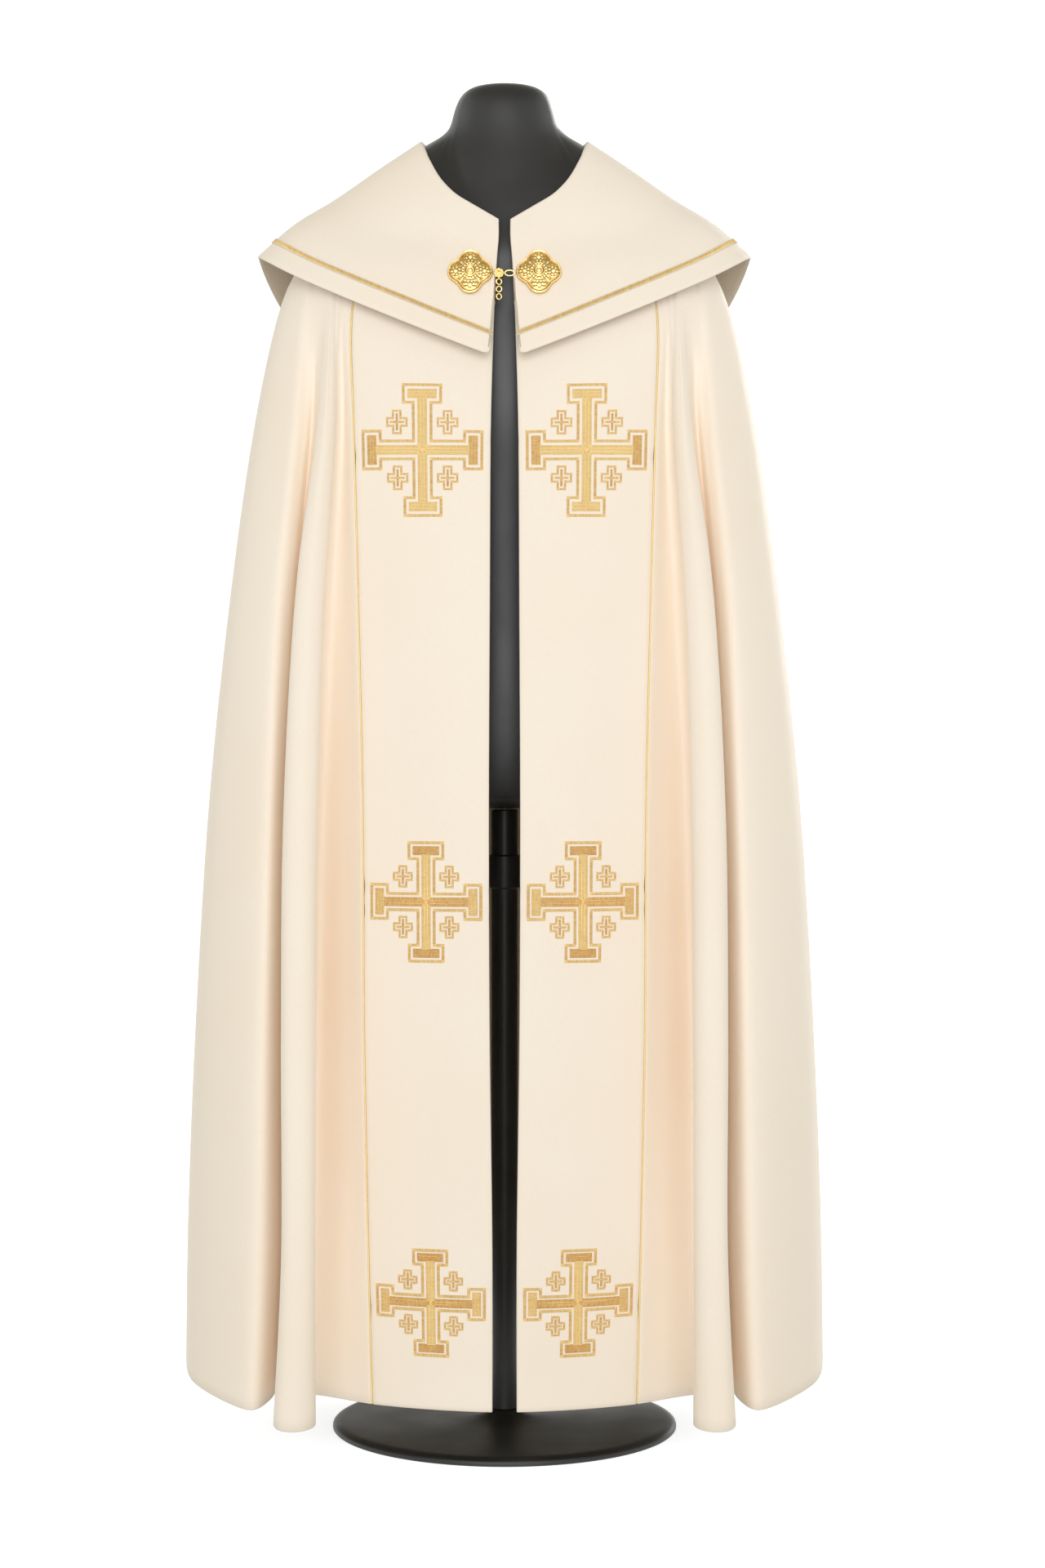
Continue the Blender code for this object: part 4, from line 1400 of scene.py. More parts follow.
    def build(self) -> bpy.types.Object:
        """Makes the collar half with its braid.

        Returns:
            The collar half.
        """
        angles = self.angles()
        shares = np.linspace(0, 1, self.rows)
        ends = np.array([self.rounded(a) for a in angles])
        grid, _ = self.surface(angles, shares[:, None] * ends[None, :])
        shape = cloth_shell(grid, self.thickness, straight=True)
        made = shape.object(f"collar_cloth_{self.side.word}",
                            [self.wardrobe.ivory, self.wardrobe.shaded_grey_lining], self.side)
        finish_piece(made, "collar_cloth", f"collar_{self.side.word}")
        self.flat
        f"mantle_cloth_{self.side.word}"
        self.flat_area
        self.build_braid()
        return made

    def build_braid(self) -> bpy.types.Object:
        """Makes the flat braid: slanted threads in two rows between two edge cords.

        Returns:
            The braid.
        """
        angles = [*np.arange(2.2, 178, 1.5), 178.5, 180]
        half = self.braid_width / 2
        middle = self.braid_inset + half
        lines = {}
        for name, inset in (("outer", middle - half * 0.5), ("inner", middle + half * 0.5),
                            ("low", middle - half * 0.9), ("high", middle + half * 0.9)):
            rows = np.array([[self.number_at(a, inset + step) for a in angles]
                             for step in (1.0, 0.0, -1.0)])
            points, normals = self.surface(angles, rows)
            lines[name] = {"points": points[1] + normals[1] * self.braid_lift,
                           "outs": normals[1], "tone": self.braid_tone, "reach": half * 1.15}
        name = f"braid_gold_{self.side.word}"
        slant = self.braid_slant * self.side.value
        made = path_object(name, [lines["outer"]], self.side)
        self.stitches.run(made, self.wardrobe.thread, Slant=slant, **BRAID_STITCH)
        other = path_object(name + "_row", [lines["inner"]], self.side)
        self.stitches.run(other, self.wardrobe.thread, Slant=-slant, **BRAID_STITCH)
        edges = path_object(name + "_edges", [lines["low"], lines["high"]], self.side)
        self.cord.run(edges, self.wardrobe.thread, **BRAID_EDGE)
        join(made, [other, edges])
        finish_piece(made, "gold_thread", f"braid_{self.side.word}")
        return made


@dataclass
class Stitch:
    """A straight run of embroidery in the drawing: its ends, width and tone."""

    start: tuple[float, float]
    end: tuple[float, float]
    width: float
    tone: float


@dataclass(frozen=True)
class PaintedBarSheen:
    """Painted sheen and shade of a cross's filled bars and ends, by the way that they lie."""

    flat: float
    tall: float
    flat_end: float
    tall_end: float


@dataclass
class Embroidery:
    """One cross potent with its outline and four small crosses, worked in gold thread."""

    side: Side
    place: str
    wardrobe: Wardrobe
    tree: Tree
    heights: dict[str, float] = field(
        default_factory=lambda: {"top": 158, "middle": 140, "bottom": 123})
    centres: dict[str, float] = field(
        default_factory=lambda: {"top": 1183, "middle": 655, "bottom": 193})
    width: float = 147.0
    height: float = 158.0
    share_of_band: float = 0.9
    bar: float = 5.4
    cap: float = 17.0
    cap_depth: float = 10.5
    space: float = 3.6
    border: float = 3.2
    small_offset: tuple[float, float] = (30.5, 33.0)
    small_half: tuple[float, float] = (12.8, 14.4)
    small_arm: float = 5.6
    small_inset: float = 1.1
    small_border: float = 2.3
    small_end: float = 4.6
    small_fill: float = 2.5
    overlap: float = 1.2
    corner_reach: float = 0.42
    mitre_width: float = 1.3
    mitre_tone: float = 0.1
    base: float = 0.35
    base_edge: float = 0.1
    base_share: float = 0.46
    base_slope: float = 0.8
    base_tone: float = 0.9
    thread_lift: float = 0.3
    rows: int = 3
    step: float = 6.0
    shortest: float = 0.5
    # Painted sheen and shade: the top cross's bars are painted bright and its tall ends darker; the
    # lower crosses' flat bars and ends are painted darker.
    upper_painted_sheen: PaintedBarSheen = PaintedBarSheen(1.05, 1.05, 1.0, 0.6)
    lower_painted_sheen: PaintedBarSheen = PaintedBarSheen(0.48, 1.0, 0.42, 0.85)
    outline_tone: float = 0.85
    # Painted shade: upright outline runs are painted darker by this much, and the small crosses'
    # upright fill is painted darker than their fill across.
    upright_painted_shade: float = 0.16
    small_outline_tone: float = 0.82
    small_tall_tone: float = 0.5
    small_flat_tone: float = 0.8

    def point(self, drawn: tuple[float, float]) -> tuple[np.ndarray, np.ndarray]:
        """Lays a point of the drawing on the right orphrey.

        Args:
            drawn: The point in the drawing.

        Returns:
            The point on the cloth, and the direction out of it.
        """
        z = self.centres[self.place] + drawn[1] * self.heights[self.place] / self.height
        position = Drape.position_of(z)
        share = 0.5 + self.share_of_band * drawn[0] / self.width
        near = np.array([[Drape.band_point(p, share + s) for s in (-0.02, 0.02)]
                         for p in (position - 0.03, position + 0.03)])
        return Drape.band_point(position, share), normals_of(near)[0, 0]

    def potent(self, out: float) -> list[tuple[float, float]]:
        """Lists the corners of the cross potent, grown outwards.

        Args:
            out: How far its outline is moved out.

        Returns:
            The 28 corners in turn.
        """
        inset = self.border + self.space
        bar, cap, depth = self.bar + out, self.cap + out, self.cap_depth + 2 * out
        corners = []
        tall, wide = self.height / 2, self.width / 2
        for half, cos, sin in ((tall, 1, 0), (wide, 0, 1), (tall, -1, 0), (wide, 0, -1)):
            end = half - inset + out
            arm = ((bar, bar), (bar, end - depth), (cap, end - depth), (cap, end),
                   (-cap, end), (-cap, end - depth), (-bar, end - depth))
            corners += [(a * cos - b * sin, a * sin + b * cos) for a, b in arm]
        return corners

    def plus(self, centre: tuple[float, float], inset: float) -> list[tuple[float, float]]:
        """Lists the corners of a small cross.

        Args:
            centre: Its middle in the drawing.
            inset: How far its outline is moved in.

        Returns:
            The 12 corners in turn.
        """
        a, (hx, hy) = self.small_arm - inset, (half - inset for half in self.small_half)
        corners = ((a, a), (a, hy), (-a, hy), (-a, a), (-hx, a), (-hx, -a),
                   (-a, -a), (-a, -hy), (a, -hy), (a, -a), (hx, -a), (hx, a))
        return [(centre[0] + x, centre[1] + y) for x, y in corners]

    def outline(self, corners: list[tuple[float, float]], width: float,
                bright: float) -> list[Stitch]:
        """Makes runs of satin stitch round an outline.

        Args:
            corners: The outline's corners in turn.
            width: The line's width.
            bright: The tone of the runs across; upright runs are painted darker, as painted shade.

        Returns:
            The runs, which reach half the width past each corner.
        """
        runs = []
        for start, end in zip(corners, corners[1:] + corners[:1]):
            way = Vector((end[0] - start[0], end[1] - start[1])).normalized()
            way = way * width * self.corner_reach
            # Upright runs get painted shade.
            upright = abs(way.x) < abs(way.y)
            runs.append(Stitch((start[0] - way.x, start[1] - way.y),
                               (end[0] + way.x, end[1] + way.y),
                               width, bright - (self.upright_painted_shade if upright else 0.0)))
        return runs

    def bars(self) -> list[Stitch]:
        """Makes the filled bars, each as rows of short stitches.

        Returns:
            The runs.
        """
        inset = self.border + self.space
        ex, ey = self.width / 2 - inset, self.height / 2 - inset
        # The bars' painted sheen and shade, by place.
        tones = self.upper_painted_sheen if self.place == "top" else self.lower_painted_sheen
        pitch, deep = 2 * self.bar / self.rows, self.cap_depth / self.rows
        runs = []
        for k in range(self.rows):
            off = (k - (self.rows - 1) / 2) * pitch
            for sign in (-1, 1):
                near = sign * abs(off)
                runs.append(Stitch((off, near), (off, sign * (ey - self.cap_depth)),
                                   pitch * self.overlap, tones.tall))
                runs.append(Stitch((near, off), (sign * (ex - self.cap_depth), off),
                                   pitch * self.overlap, tones.flat))
        for sign in (-1, 1):
            runs.append(Stitch((sign * self.bar, -self.bar), (0.0, 0.6),
                               self.mitre_width, self.mitre_tone))
        for k in range(self.rows):
            off = (k + 0.5) * deep
            for sign in (-1, 1):
                x, y = sign * (ex - off), sign * (ey - off)
                runs.append(Stitch((-self.cap, y), (self.cap, y),
                                   deep * self.overlap, tones.flat_end))
                runs.append(Stitch((x, -self.cap), (x, self.cap),
                                   deep * self.overlap, tones.tall_end))
        return runs

    def runs(self) -> list[Stitch]:
        """Lists every run of stitches of the cross.

        Returns:
            The runs.
        """
        middle = self.space + self.border / 2
        runs = self.outline(self.potent(middle), self.border, self.outline_tone) + self.bars()
        for sx, sy in ((-1, 1), (1, 1), (-1, -1), (1, -1)):
            cx, cy = sx * self.small_offset[0], sy * self.small_offset[1]
            runs += self.outline(self.plus((cx, cy), self.small_inset), self.small_border,
                                 self.small_outline_tone)
            hx, hy = (half - self.small_end for half in self.small_half)
            # Painted shade: the upright fill is painted darker than the fill across.
            runs.append(Stitch((cx, cy - hy), (cx, cy + hy), self.small_fill,
                               self.small_tall_tone))
            runs.append(Stitch((cx - hx, cy), (cx + hx, cy), self.small_fill,
                               self.small_flat_tone))
        return runs

    def points_in(self, run: Stitch) -> int:
        """How many points a run is laid through."""
        return int(math.dist(run.start, run.end) / self.step) + 2

    def line(self, run: Stitch, lift: float) -> dict[str, Any]:
        """Lays one run on the cloth.

        Args:
            run: The run of stitches.
            lift: How far out of the cloth its line lies.

        Returns:
            The line's points, outward directions, reach and tone.
        """
        count = self.points_in(run)
        laid = [self.point(mix(run.start, run.end, k / (count - 1))) for k in range(count)]
        return {"points": [p + n * lift for p, n in laid], "outs": [n for _, n in laid],
                "reach": run.width, "tone": run.tone}

    def pad(self, shape: Shape, run: Stitch) -> None:
        """Adds the closed felt base under one run.

        Args:
            shape: The shape that the base is added to.
            run: The run of stitches.
        """
        length = math.dist(run.start, run.end)
        way = ((run.end[0] - run.start[0]) / length, (run.end[1] - run.start[1]) / length)
        half = run.width * self.base_share
        side = (-way[1] * half, way[0] * half)
        count = self.points_in(run)
        first = len(shape.points)
        for k in range(count):
            x, y = mix(run.start, run.end, k / (count - 1))
            for sx, lift in ((1, self.base_edge), (self.base_slope, self.base),
                             (-self.base_slope, self.base), (-1, self.base_edge)):
                point, normal = self.point((x + side[0] * sx, y + side[1] * sx))
                shape.points.append(point + normal * lift)
                shape.tones.append(run.tone * self.base_tone)
        for k in range(count - 1):
            here = first + 4 * k
            for j in range(4):
                n = (j + 1) % 4
                shape.faces.append((here + j, here + n, here + 4 + n, here + 4 + j))
        last = first + 4 * (count - 1)
        shape.faces.append((first + 3, first + 2, first + 1, first))
        shape.faces.append((last, last + 1, last + 2, last + 3))

    def build(self) -> bpy.types.Object:
        """Makes the cross.

        Returns:
            The cross.
        """
        runs = [run for run in self.runs() if math.dist(run.start, run.end) > self.shortest]
        name = f"embroidery_{self.side.word}_{self.place}"
        lines = [self.line(run, self.thread_lift) for run in runs]
        made = path_object(name, lines, self.side)
        self.tree.run(made, self.wardrobe.thread, **CROSS_STITCH)
        shape = Shape()
        for run in runs:
            self.pad(shape, run)
        join(made, [shape.object(name + "_pad", [self.wardrobe.thread], self.side)])
        where = f"{self.side.word}_{self.place}"
        nodes = [f"cross_{where}", f"cross_outline_{where}"]
        nodes += [f"small_cross_{where}_{k}" for k in range(1, 5)]
        finish_piece(made, "gold_thread", *nodes)
        return made


@dataclass
class ClaspPlate:
    """A cast quatrefoil plate with a boss, rosettes in its lobes and a raised rim."""

    side: Side
    wardrobe: Wardrobe
    lobe_radius: float = 14.1
    lobe_out: float = 12.9
    tall: float = 1.12
    rings: int = 64
    spokes: int = 208
    dome: float = 2.6
    cusp: float = 1.7
    cusp_width: float = 0.12
    rim_height: float = 1.5
    # Beads and grooves near the rim: share, width and height.
    rim_rings: tuple[tuple[float, ...], ...] = ((0.955, 0.03, 1.5), (0.88, 0.04, -0.5))
    # Boss, beads and groove round the middle: radius, width and height.
    middle_rings: tuple[tuple[float, ...], ...] = (
        (0.0, 2.0, 1.7), (4.1, 0.75, 1.3), (6.4, 0.55, 0.9), (5.3, 0.5, -0.7))
    lobe_middle: float = 17.0
    # The plate's edge and back under the cast face: share of the radius and height.
    skirt: tuple[tuple[float, float], ...] = ((1.0, 1.1), (1.0, 0.3), (0.97, 0.0))

    def edge(self, angle: float) -> float:
        """Finds the plate's outline from its four lobes and the leaves between them.

        Args:
            angle: The angle round the plate.

        Returns:
            The radius there.
        """
        reach = 0.0
        for k in range(4):
            turn = angle - k * math.pi / 2
            inside = self.lobe_radius**2 - (self.lobe_out * math.sin(turn)) ** 2
            if inside > 0 and math.cos(turn) > 0:
                reach = max(reach, self.lobe_out * math.cos(turn) + math.sqrt(inside))
        between = math.pi / 4 - abs((angle + math.pi / 4) % (math.pi / 2) - math.pi / 4)
        return reach + self.cusp * bell(between, self.cusp_width)

    def relief(self, x: float, y: float, share: float) -> float:
        """Finds how high the cast face stands.

        Args:
            x: Across the plate.
            y: Up the plate.
            share: How near the rim, 0 to 1.

        Returns:
            The height above the flat back.
        """
        radius, angle = math.hypot(x, y), math.atan2(y, x)
        high = self.rim_height + self.dome * (1 - share**2)
        high += sum(tall * bell(share - at, wide) for at, wide, tall in self.rim_rings)
        high += sum(tall * bell(radius - at, wide) for at, wide, tall in self.middle_rings)
        high += 0.75 * bell(radius - 8.9, 1.1) * (0.5 + 0.5 * math.cos(16 * angle))
        quarter = (angle + math.pi / 4) % (math.pi / 2) - math.pi / 4
        u, v = radius * math.cos(quarter) - self.lobe_middle, radius * math.sin(quarter)
        around, turn = math.hypot(u, v), math.atan2(v, u)
        high += 1.9 * bell(around, 1.7)
        high += 0.8 * bell(around - 4.6, 1.2) * (0.55 + 0.45 * math.cos(7 * turn))
        high += 0.6 * bell(around - 7.2, 0.8) * (0.6 + 0.4 * math.cos(11 * turn))
        leaf = radius * math.sin(math.pi / 4 - abs(quarter))
        veins = 0.7 + 0.3 * math.cos(radius * 2.6)
        high += 1.0 * bell(leaf, 1.3) * bell(radius - 14.5, 3.2) * veins
        high += 0.5 * bell(abs(leaf) - 3.1, 0.8) * bell(radius - 12.0, 2.6)
        return high

    def build(self) -> bpy.types.Object:
        """Makes the plate on its seat.

        Returns:
            The plate.
        """
        shape = Shape(points=[(0.0, 0.0, self.relief(0, 0, 0))], tones=[0.9])
        cast = [(share, None) for share in np.linspace(0.02, 0.985, self.rings)]
        for share, level in (*cast, *self.skirt):
            plain = self.rim_height + self.dome * (1 - share**2)
            for j in range(self.spokes):
                angle = math.tau * j / self.spokes
                radius = self.edge(angle) * share
                x, y = radius * math.cos(angle), radius * math.sin(angle)
                high = self.relief(x, y, share) if level is None else level
                # Painted highlight and shade: the tone rises with the relief above the plain dome,
                # so high places are painted bright and hollows dark; the middle, the edge and the
                # back get fixed tones.
                tone = 0.45 + 0.55 * (high - plain) if level is None else 0.6
                shape.points.append((x, y * self.tall, high))
                shape.tones.append(min(max(tone, 0.0), 1.0))
        shape.points.append((0.0, 0.0, 0.0))
        shape.tones.append(0.4)
        shape.skin_rings(self.rings + len(self.skirt), self.spokes)
        node = f"clasp_plate_{self.side.word}"
        made = shape.object(f"clasp_cast_{self.side.word}", [self.wardrobe.gilt])
        made.data.transform(self.seat(node))
        finish_piece(made, "gilt_metal", node)
        return made

    @staticmethod
    def seat(node: str) -> Matrix:
        """Finds the plain plate's place from its flat underside.

        Args:
            node: The plain plate's node.

        Returns:
            The matrix that lays the cast plate there.
        """
        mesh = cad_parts[node].data
        biggest: dict[tuple[float, ...], list[Any]] = {}
        for face in mesh.polygons:
            key = tuple(round(c, 2) for c in face.normal)
            row = biggest.setdefault(key, [0.0, Vector((0, 0, 0)), Vector(face.normal)])
            row[0] += face.area
            row[1] += face.center * face.area
        area, weighted, normal = max(
            biggest.values(), key=lambda row: row[0] if row[2].y > 0 else 0.0)
        turn = (-normal).to_track_quat("Z", "Y").to_matrix().to_4x4()
        return Matrix.Translation(weighted / area) @ turn


@dataclass
class ClaspLinks:
    """The ornate hook boss, the eye and the three spare links."""

    wardrobe: Wardrobe
    boss_radius: float = 5.8
    boss_top: float = 4.1
    petals: int = 8
    rings: int = 26
    spokes: int = 72
    wire: float = 0.95
    wire_steps: int = 40
    wire_sides: int = 12
    chain_turns: tuple[float, ...] = (18.0, -12.0, 25.0)

    def boss_height(self, share: float, angle: float) -> float:
        """Finds how high the hook's rosette stands.

        Args:
            share: How near its rim, 0 to 1.
            angle: The angle round it.

        Returns:
            The height above its back.
        """
        high = 1.3 + 1.5 * (1 - share**2) + 0.9 * bell(share - 0.9, 0.08)
        high += 1.3 * bell(share, 0.22)
        return high + 0.6 * bell(share - 0.58, 0.14) * math.cos(self.petals * angle)

    def boss(self) -> bpy.types.Object:
        """Makes the hook's rosette, domed and scalloped.

        Returns:
            The boss.
        """
        low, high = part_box("clasp_hook")
        centre = Vector([(a + b) / 2 for a, b in zip(low, high)])
        shape = Shape(points=[(0, 0, self.boss_top)], tones=[0.9])
        cast = [(share, None) for share in np.linspace(0.05, 1.0, self.rings)]
        skirt = ((1.0, 0.5), (0.96, 0.0))
        for share, level in (*cast, *skirt):
            for j in range(self.spokes):
                angle = math.tau * j / self.spokes
                radius = self.boss_radius * share * (1 + 0.05 * math.cos(self.petals * angle))
                z = self.boss_height(share, angle) if level is None else level
                shape.points.append((radius * math.cos(angle), radius * math.sin(angle), z))
                # Painted highlight and shade: the higher the rosette stands, the brighter its tone.
                shape.tones.append(min(max(0.25 * z, 0.2), 1.0))
        shape.points.append((0, 0, 0))
        shape.tones.append(0.4)
        shape.skin_rings(self.rings + len(skirt), self.spokes)
        made = shape.object("clasp_boss", [self.wardrobe.gilt])
        place = Matrix.Translation((centre.x, high[1], centre.z))
        made.data.transform(place @ Matrix.Rotation(math.pi / 2, 4, "X"))
        finish_piece(made, "gilt_metal", "clasp_hook")
        return made

    def ring(self, name: str, node: str, turn: float) -> bpy.types.Object:
        """Makes a smooth wire ring in place of a plain one.

        Args:
            name: The new piece's name.
            node: The plain ring's node.
            turn: How far it is swung round its upright, in degrees.

        Returns:
            The ring.
        """
        low, high = (np.array(c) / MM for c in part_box(node))
        centre, size = (low + high) / 2, high - low
        across, up = size[0] / 2 - self.wire, size[2] / 2 - self.wire
        shape = Shape()
        steps, sides = self.wire_steps, self.wire_sides
        for k in range(steps):
            a = math.tau * k / steps
            for j in range(sides):
                b = math.tau * j / sides
                out = self.wire * math.cos(b)
                shape.points.append(((across + out) * math.cos(a), self.wire * math.sin(b),
                                     (up + out) * math.sin(a)))
                shape.tones.append(0.75)
        for k in range(steps):
            here, after = k * sides, (k + 1) % steps * sides
            for j in range(sides):
                n = (j + 1) % sides
                shape.faces.append((here + j, here + n, after + n, after + j))
        made = shape.object(name, [self.wardrobe.gilt])
        place = Matrix.Translation(Vector(centre * MM))
        made.data.transform(place @ Matrix.Rotation(math.radians(turn), 4, "Z"))
        finish_piece(made, "gilt_metal", node)
        return made

    def build(self) -> None:
        """Makes the boss, the eye and the links."""
        self.boss()
        self.ring("clasp_eye", "clasp_ring", 0.0)
        for k, turn in enumerate(self.chain_turns, start=1):
            self.ring(f"clasp_chain_{k}", f"clasp_link_{k}", turn)


@dataclass
class Form:
    """The smooth black dress form with its pole and base."""

    wardrobe: Wardrobe
    smoothing: int = 2
    pole_radius: float = 16.0
    sleeve_radius: float = 19.0
    sleeve_top: float = 698.0
    sleeve_foot: float = 660.0
    pole_steps: int = 64
    # The base's upper side, from its middle to where its round rim starts: radius and height.
    base_top: tuple[tuple[float, float], ...] = (
        (0, 22), (18, 22), (20, 21), (24, 16.5), (40, 13.6), (70, 12), (196, 10))
    base_foot: tuple[tuple[float, float], ...] = ((210, 1.5), (208.5, 0), (0, 0))
    base_steps: int = 128

    def smooth_copy(self, name: str, node: str, levels: int) -> bpy.types.Object:
        """Copies a solid and smooths its facets.

        Args:
            name: The new piece's name.
            node: The solid.
            levels: How many times it is divided.

        Returns:
            The smooth piece.
        """
        body = bmesh.new()
        body.from_mesh(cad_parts[node].data)
        bmesh.ops.remove_doubles(body, verts=body.verts, dist=1e-6)
        bmesh.ops.join_triangles(body, faces=body.faces, angle_face_threshold=0.7,
                                 angle_shape_threshold=0.9)
        mesh = bpy.data.meshes.new(name)
        body.to_mesh(mesh)
        body.free()
        made = bpy.data.objects.new(name, mesh)
        bpy.context.scene.collection.objects.link(made)
        modifier = made.modifiers.new("smooth", "SUBSURF")
        modifier.levels = modifier.render_levels = levels
        graph = bpy.context.evaluated_depsgraph_get()
        dense = bpy.data.meshes.new_from_object(made.evaluated_get(graph), depsgraph=graph)
        made.modifiers.clear()
        made.data = dense
        dense.shade_smooth()
        return made

    def turned(self, name: str, profile: Sequence[tuple[float, float]],
               steps: int) -> bpy.types.Object:
        """Turns a profile of radius and height round the pole's axis.

        Args:
            name: The piece's name.
            profile: Radius and height pairs from the top middle to the bottom middle.
            steps: How many faces go round.

        Returns:
            The turned piece.
        """
        rings = profile[1:-1]
        around = [(math.cos(math.tau * j / steps), math.sin(math.tau * j / steps))
                  for j in range(steps)]
        shape = Shape(points=[(0, 0, profile[0][1])])
        for radius, height in rings:
            shape.points += [(radius * x, radius * y, height) for x, y in around]
        shape.points.append((0, 0, profile[-1][1]))
        shape.skin_rings(len(rings), steps)
        return shape.object(name, [self.wardrobe.steel], sharp=40)

    def build(self) -> None:
        """Makes the form, the pole and the base."""
        form = self.smooth_copy("form_smooth", "dress_form", self.smoothing)
        form.data.materials.clear()
        form.data.materials.append(self.wardrobe.form)
        finish_piece(form, "form_black", "dress_form")
        low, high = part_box("stand_pole")
        top, foot = high[2] / MM, low[2] / MM
        pole, sleeve = self.pole_radius, self.sleeve_radius
        profile = ((0, top), (pole - 1, top), (pole, top - 1), (pole, self.sleeve_top + 2),
                   (sleeve, self.sleeve_top), (sleeve, self.sleeve_foot),
                   (pole, self.sleeve_foot - 2), (pole, foot + 1), (pole - 1, foot), (0, foot))
        finish_piece(self.turned("pole_turned", profile, self.pole_steps),
                     "stand_steel", "stand_pole")
        rim = [(196 + 14 * math.sin(a), 4 + 6 * math.cos(a))
               for a in np.linspace(0.3, math.pi / 2, 6)]
        profile = (*self.base_top, *rim, *self.base_foot)
        finish_piece(self.turned("base_turned", profile, self.base_steps),
                     "stand_steel", "stand_base")


@dataclass(frozen=True)
class Lamp:
    """A soft rectangular light: its place, what it points at, size, watts and colour."""

    name: str
    place: tuple[float, float, float]
    target: tuple[float, float, float]
    size: tuple[float, float]
    power: float
    colour: tuple[float, float, float]

    def build(self) -> None:
        """Adds the light to the scene."""
        light = bpy.data.lights.new(self.name, "AREA")
        light.shape = "RECTANGLE"
        light.size, light.size_y = self.size
        light.energy = self.power
        light.color = self.colour
        made = bpy.data.objects.new(self.name, light)
        made.location = self.place
        way = Vector(self.target) - Vector(self.place)
        made.rotation_euler = way.to_track_quat("-Z", "Y").to_euler()
        bpy.context.scene.collection.objects.link(made)


WARM_LIGHT = (1.0, 0.99, 0.97)
LAMPS = (
    Lamp("front_soft", (0.0, -4.6, 1.9), (0.0, 0.0, 0.75), (3.6, 3.6), 115, (0.99, 0.99, 1.0)),
    Lamp("left_soft", (-4.4, 0.2, 2.0), (0.0, 0.0, 0.8), (2.6, 3.0), 30, WARM_LIGHT),
    Lamp("right_soft", (4.4, 0.2, 2.0), (0.0, 0.0, 0.8), (2.6, 3.0), 30, WARM_LIGHT),
    Lamp("back_soft", (2.4, 4.2, 2.3), (0.0, 0.0, 0.8), (2.0, 2.8), 75, WARM_LIGHT),
)


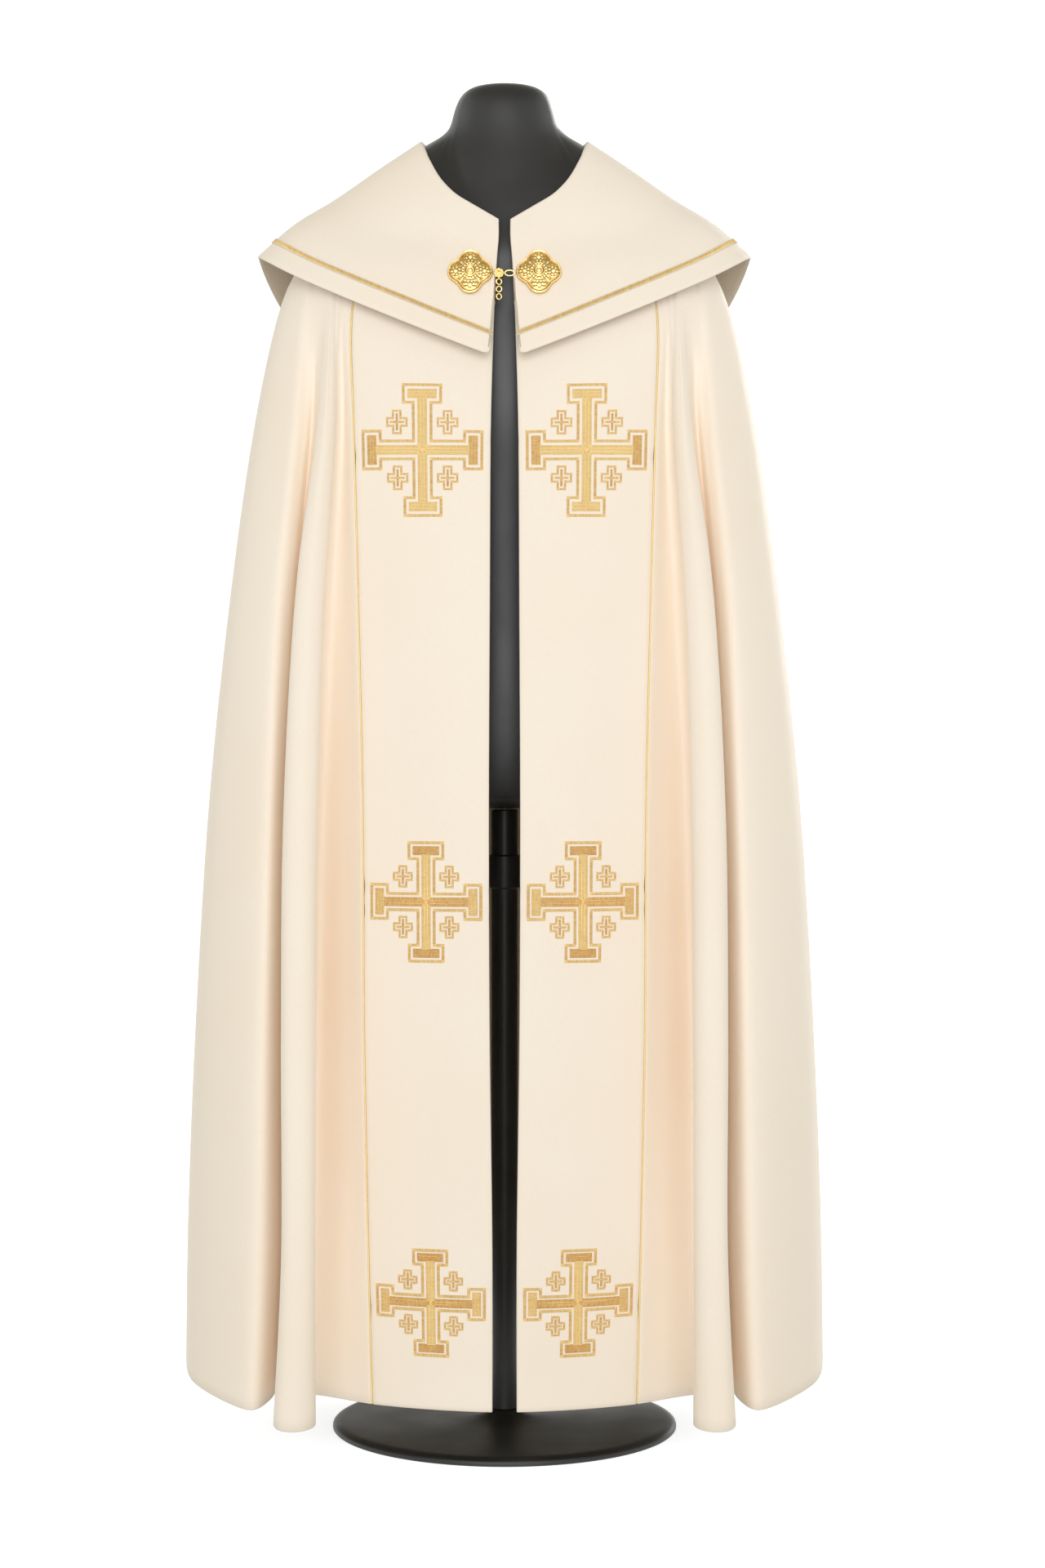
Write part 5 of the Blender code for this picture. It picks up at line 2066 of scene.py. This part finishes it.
@dataclass
class Studio:
    """The pale floor, the soft lights and the camera at the photograph's angle."""

    distance: float = 3.6
    reference: float = -0.29
    camera_height: float = 0.9
    scale: float = 0.000926
    image: tuple[int, int] = (1280, 1920)
    horizon_row: float = 846.0
    middle_column: float = 618.0
    floor_colour: tuple[float, float, float] = (0.90, 0.92, 0.95)
    glow_colour: tuple[float, float, float] = (0.94, 0.97, 1.0)
    glow: float = 0.75
    world_colour: tuple[float, float, float] = (1.0, 0.935, 0.78)
    world_strength: float = 0.5
    bounces: int = 14
    hole: float = 0.8
    room: float = 12.0
    cove: float = 2.0
    wall_top: float = 14.0
    steps: int = 96

    def floor(self) -> None:
        """Makes the round floor, which curves up into a backdrop on all sides."""
        finish = Finish("studio_floor", self.floor_colour, 0.9,
                        settings=(("Emission Strength", self.glow),))
        material, graph, shader = finish.start()
        shader.inputs["Emission Color"].default_value = (*self.glow_colour, 1.0)
        finish.vary_roughness(graph, shader, graph.noise(graph.solid(), 2.0, 2.0), 0.04, 0.04)
        profile = [(self.hole, 0.0), (self.room, 0.0)]
        profile += [(self.room + self.cove * math.sin(a), self.cove * (1 - math.cos(a)))
                    for a in np.linspace(0.1, math.pi / 2, 12)]
        profile.append((self.room + self.cove, self.wall_top))
        around = [math.tau * k / self.steps for k in range(self.steps)]
        points = [(r * math.cos(a), r * math.sin(a), z) for r, z in profile for a in around]
        faces = []
        for k in range(len(profile) - 1):
            here, after = self.steps * k, self.steps * (k + 1)
            for j in range(self.steps):
                n = (j + 1) % self.steps
                faces.append((after + j, after + n, here + n, here + j))
        faces.append(tuple(range(self.steps)))
        mesh = bpy.data.meshes.new("studio_floor")
        mesh.from_pydata(points, [], faces)
        mesh.materials.append(material)
        mesh.shade_smooth()
        made = bpy.data.objects.new("studio_floor", mesh)
        bpy.context.scene.collection.objects.link(made)
        made.visible_diffuse = False
        made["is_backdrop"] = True

    def lights(self) -> None:
        """Adds the soft lights and the room's own light."""
        world = bpy.data.worlds.new("studio_room")
        world.use_nodes = True
        room = world.node_tree.nodes["Background"]
        room.inputs["Color"].default_value = (*self.world_colour, 1.0)
        room.inputs["Strength"].default_value = self.world_strength
        bpy.context.scene.world = world
        bpy.context.scene.cycles.diffuse_bounces = self.bounces
        bpy.context.scene.cycles.max_bounces = self.bounces
        for lamp in LAMPS:
            lamp.build()

    def camera(self) -> None:
        """Sets the camera where the photograph was taken from."""
        data = bpy.data.cameras.new("photograph_camera")
        wide, tall = self.image
        data.sensor_width = 36.0
        data.lens = self.distance / self.scale / tall * data.sensor_width
        data.shift_x = (wide / 2 - self.middle_column) / tall
        data.shift_y = (self.horizon_row - tall / 2) / tall
        made = bpy.data.objects.new("photograph_camera", data)
        made.location = (0.0, self.reference - self.distance, self.camera_height)
        made.rotation_euler = (math.pi / 2, 0.0, 0.0)
        bpy.context.scene.collection.objects.link(made)
        bpy.context.scene.camera = made
        bpy.context.scene.view_settings.view_transform = "Standard"

    def build(self) -> None:
        """Sets the whole studio up."""
        self.floor()
        self.lights()
        self.camera()


def plain(box: Iterable[Iterable[float]]) -> list[list[float]]:
    """A box as plain lists of numbers."""
    return [[float(c) for c in corner] for corner in box]


def main() -> None:
    """Builds every piece on the frame and measures the bounds before and after."""
    logging.basicConfig(level=logging.INFO, format="%(message)s")
    solid_box = plain(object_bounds())
    Studio().build()
    wardrobe = Wardrobe()
    stitches, cord = stitching_tree(), cord_tree()
    for side in Side:
        Mantle(side, wardrobe).build()
        Orphrey(side, wardrobe).build()
        Piping(side, wardrobe, cord).build()
        Collar(side, wardrobe, stitches, cord).build()
        for place in PLACES:
            Embroidery(side, place, wardrobe, stitches).build()
        ClaspPlate(side, wardrobe).build()
    ClaspLinks(wardrobe).build()
    Form(wardrobe).build()
    {"solids": solid_box, "dressed": plain(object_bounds())}


if __name__ == "__main__":
    main()
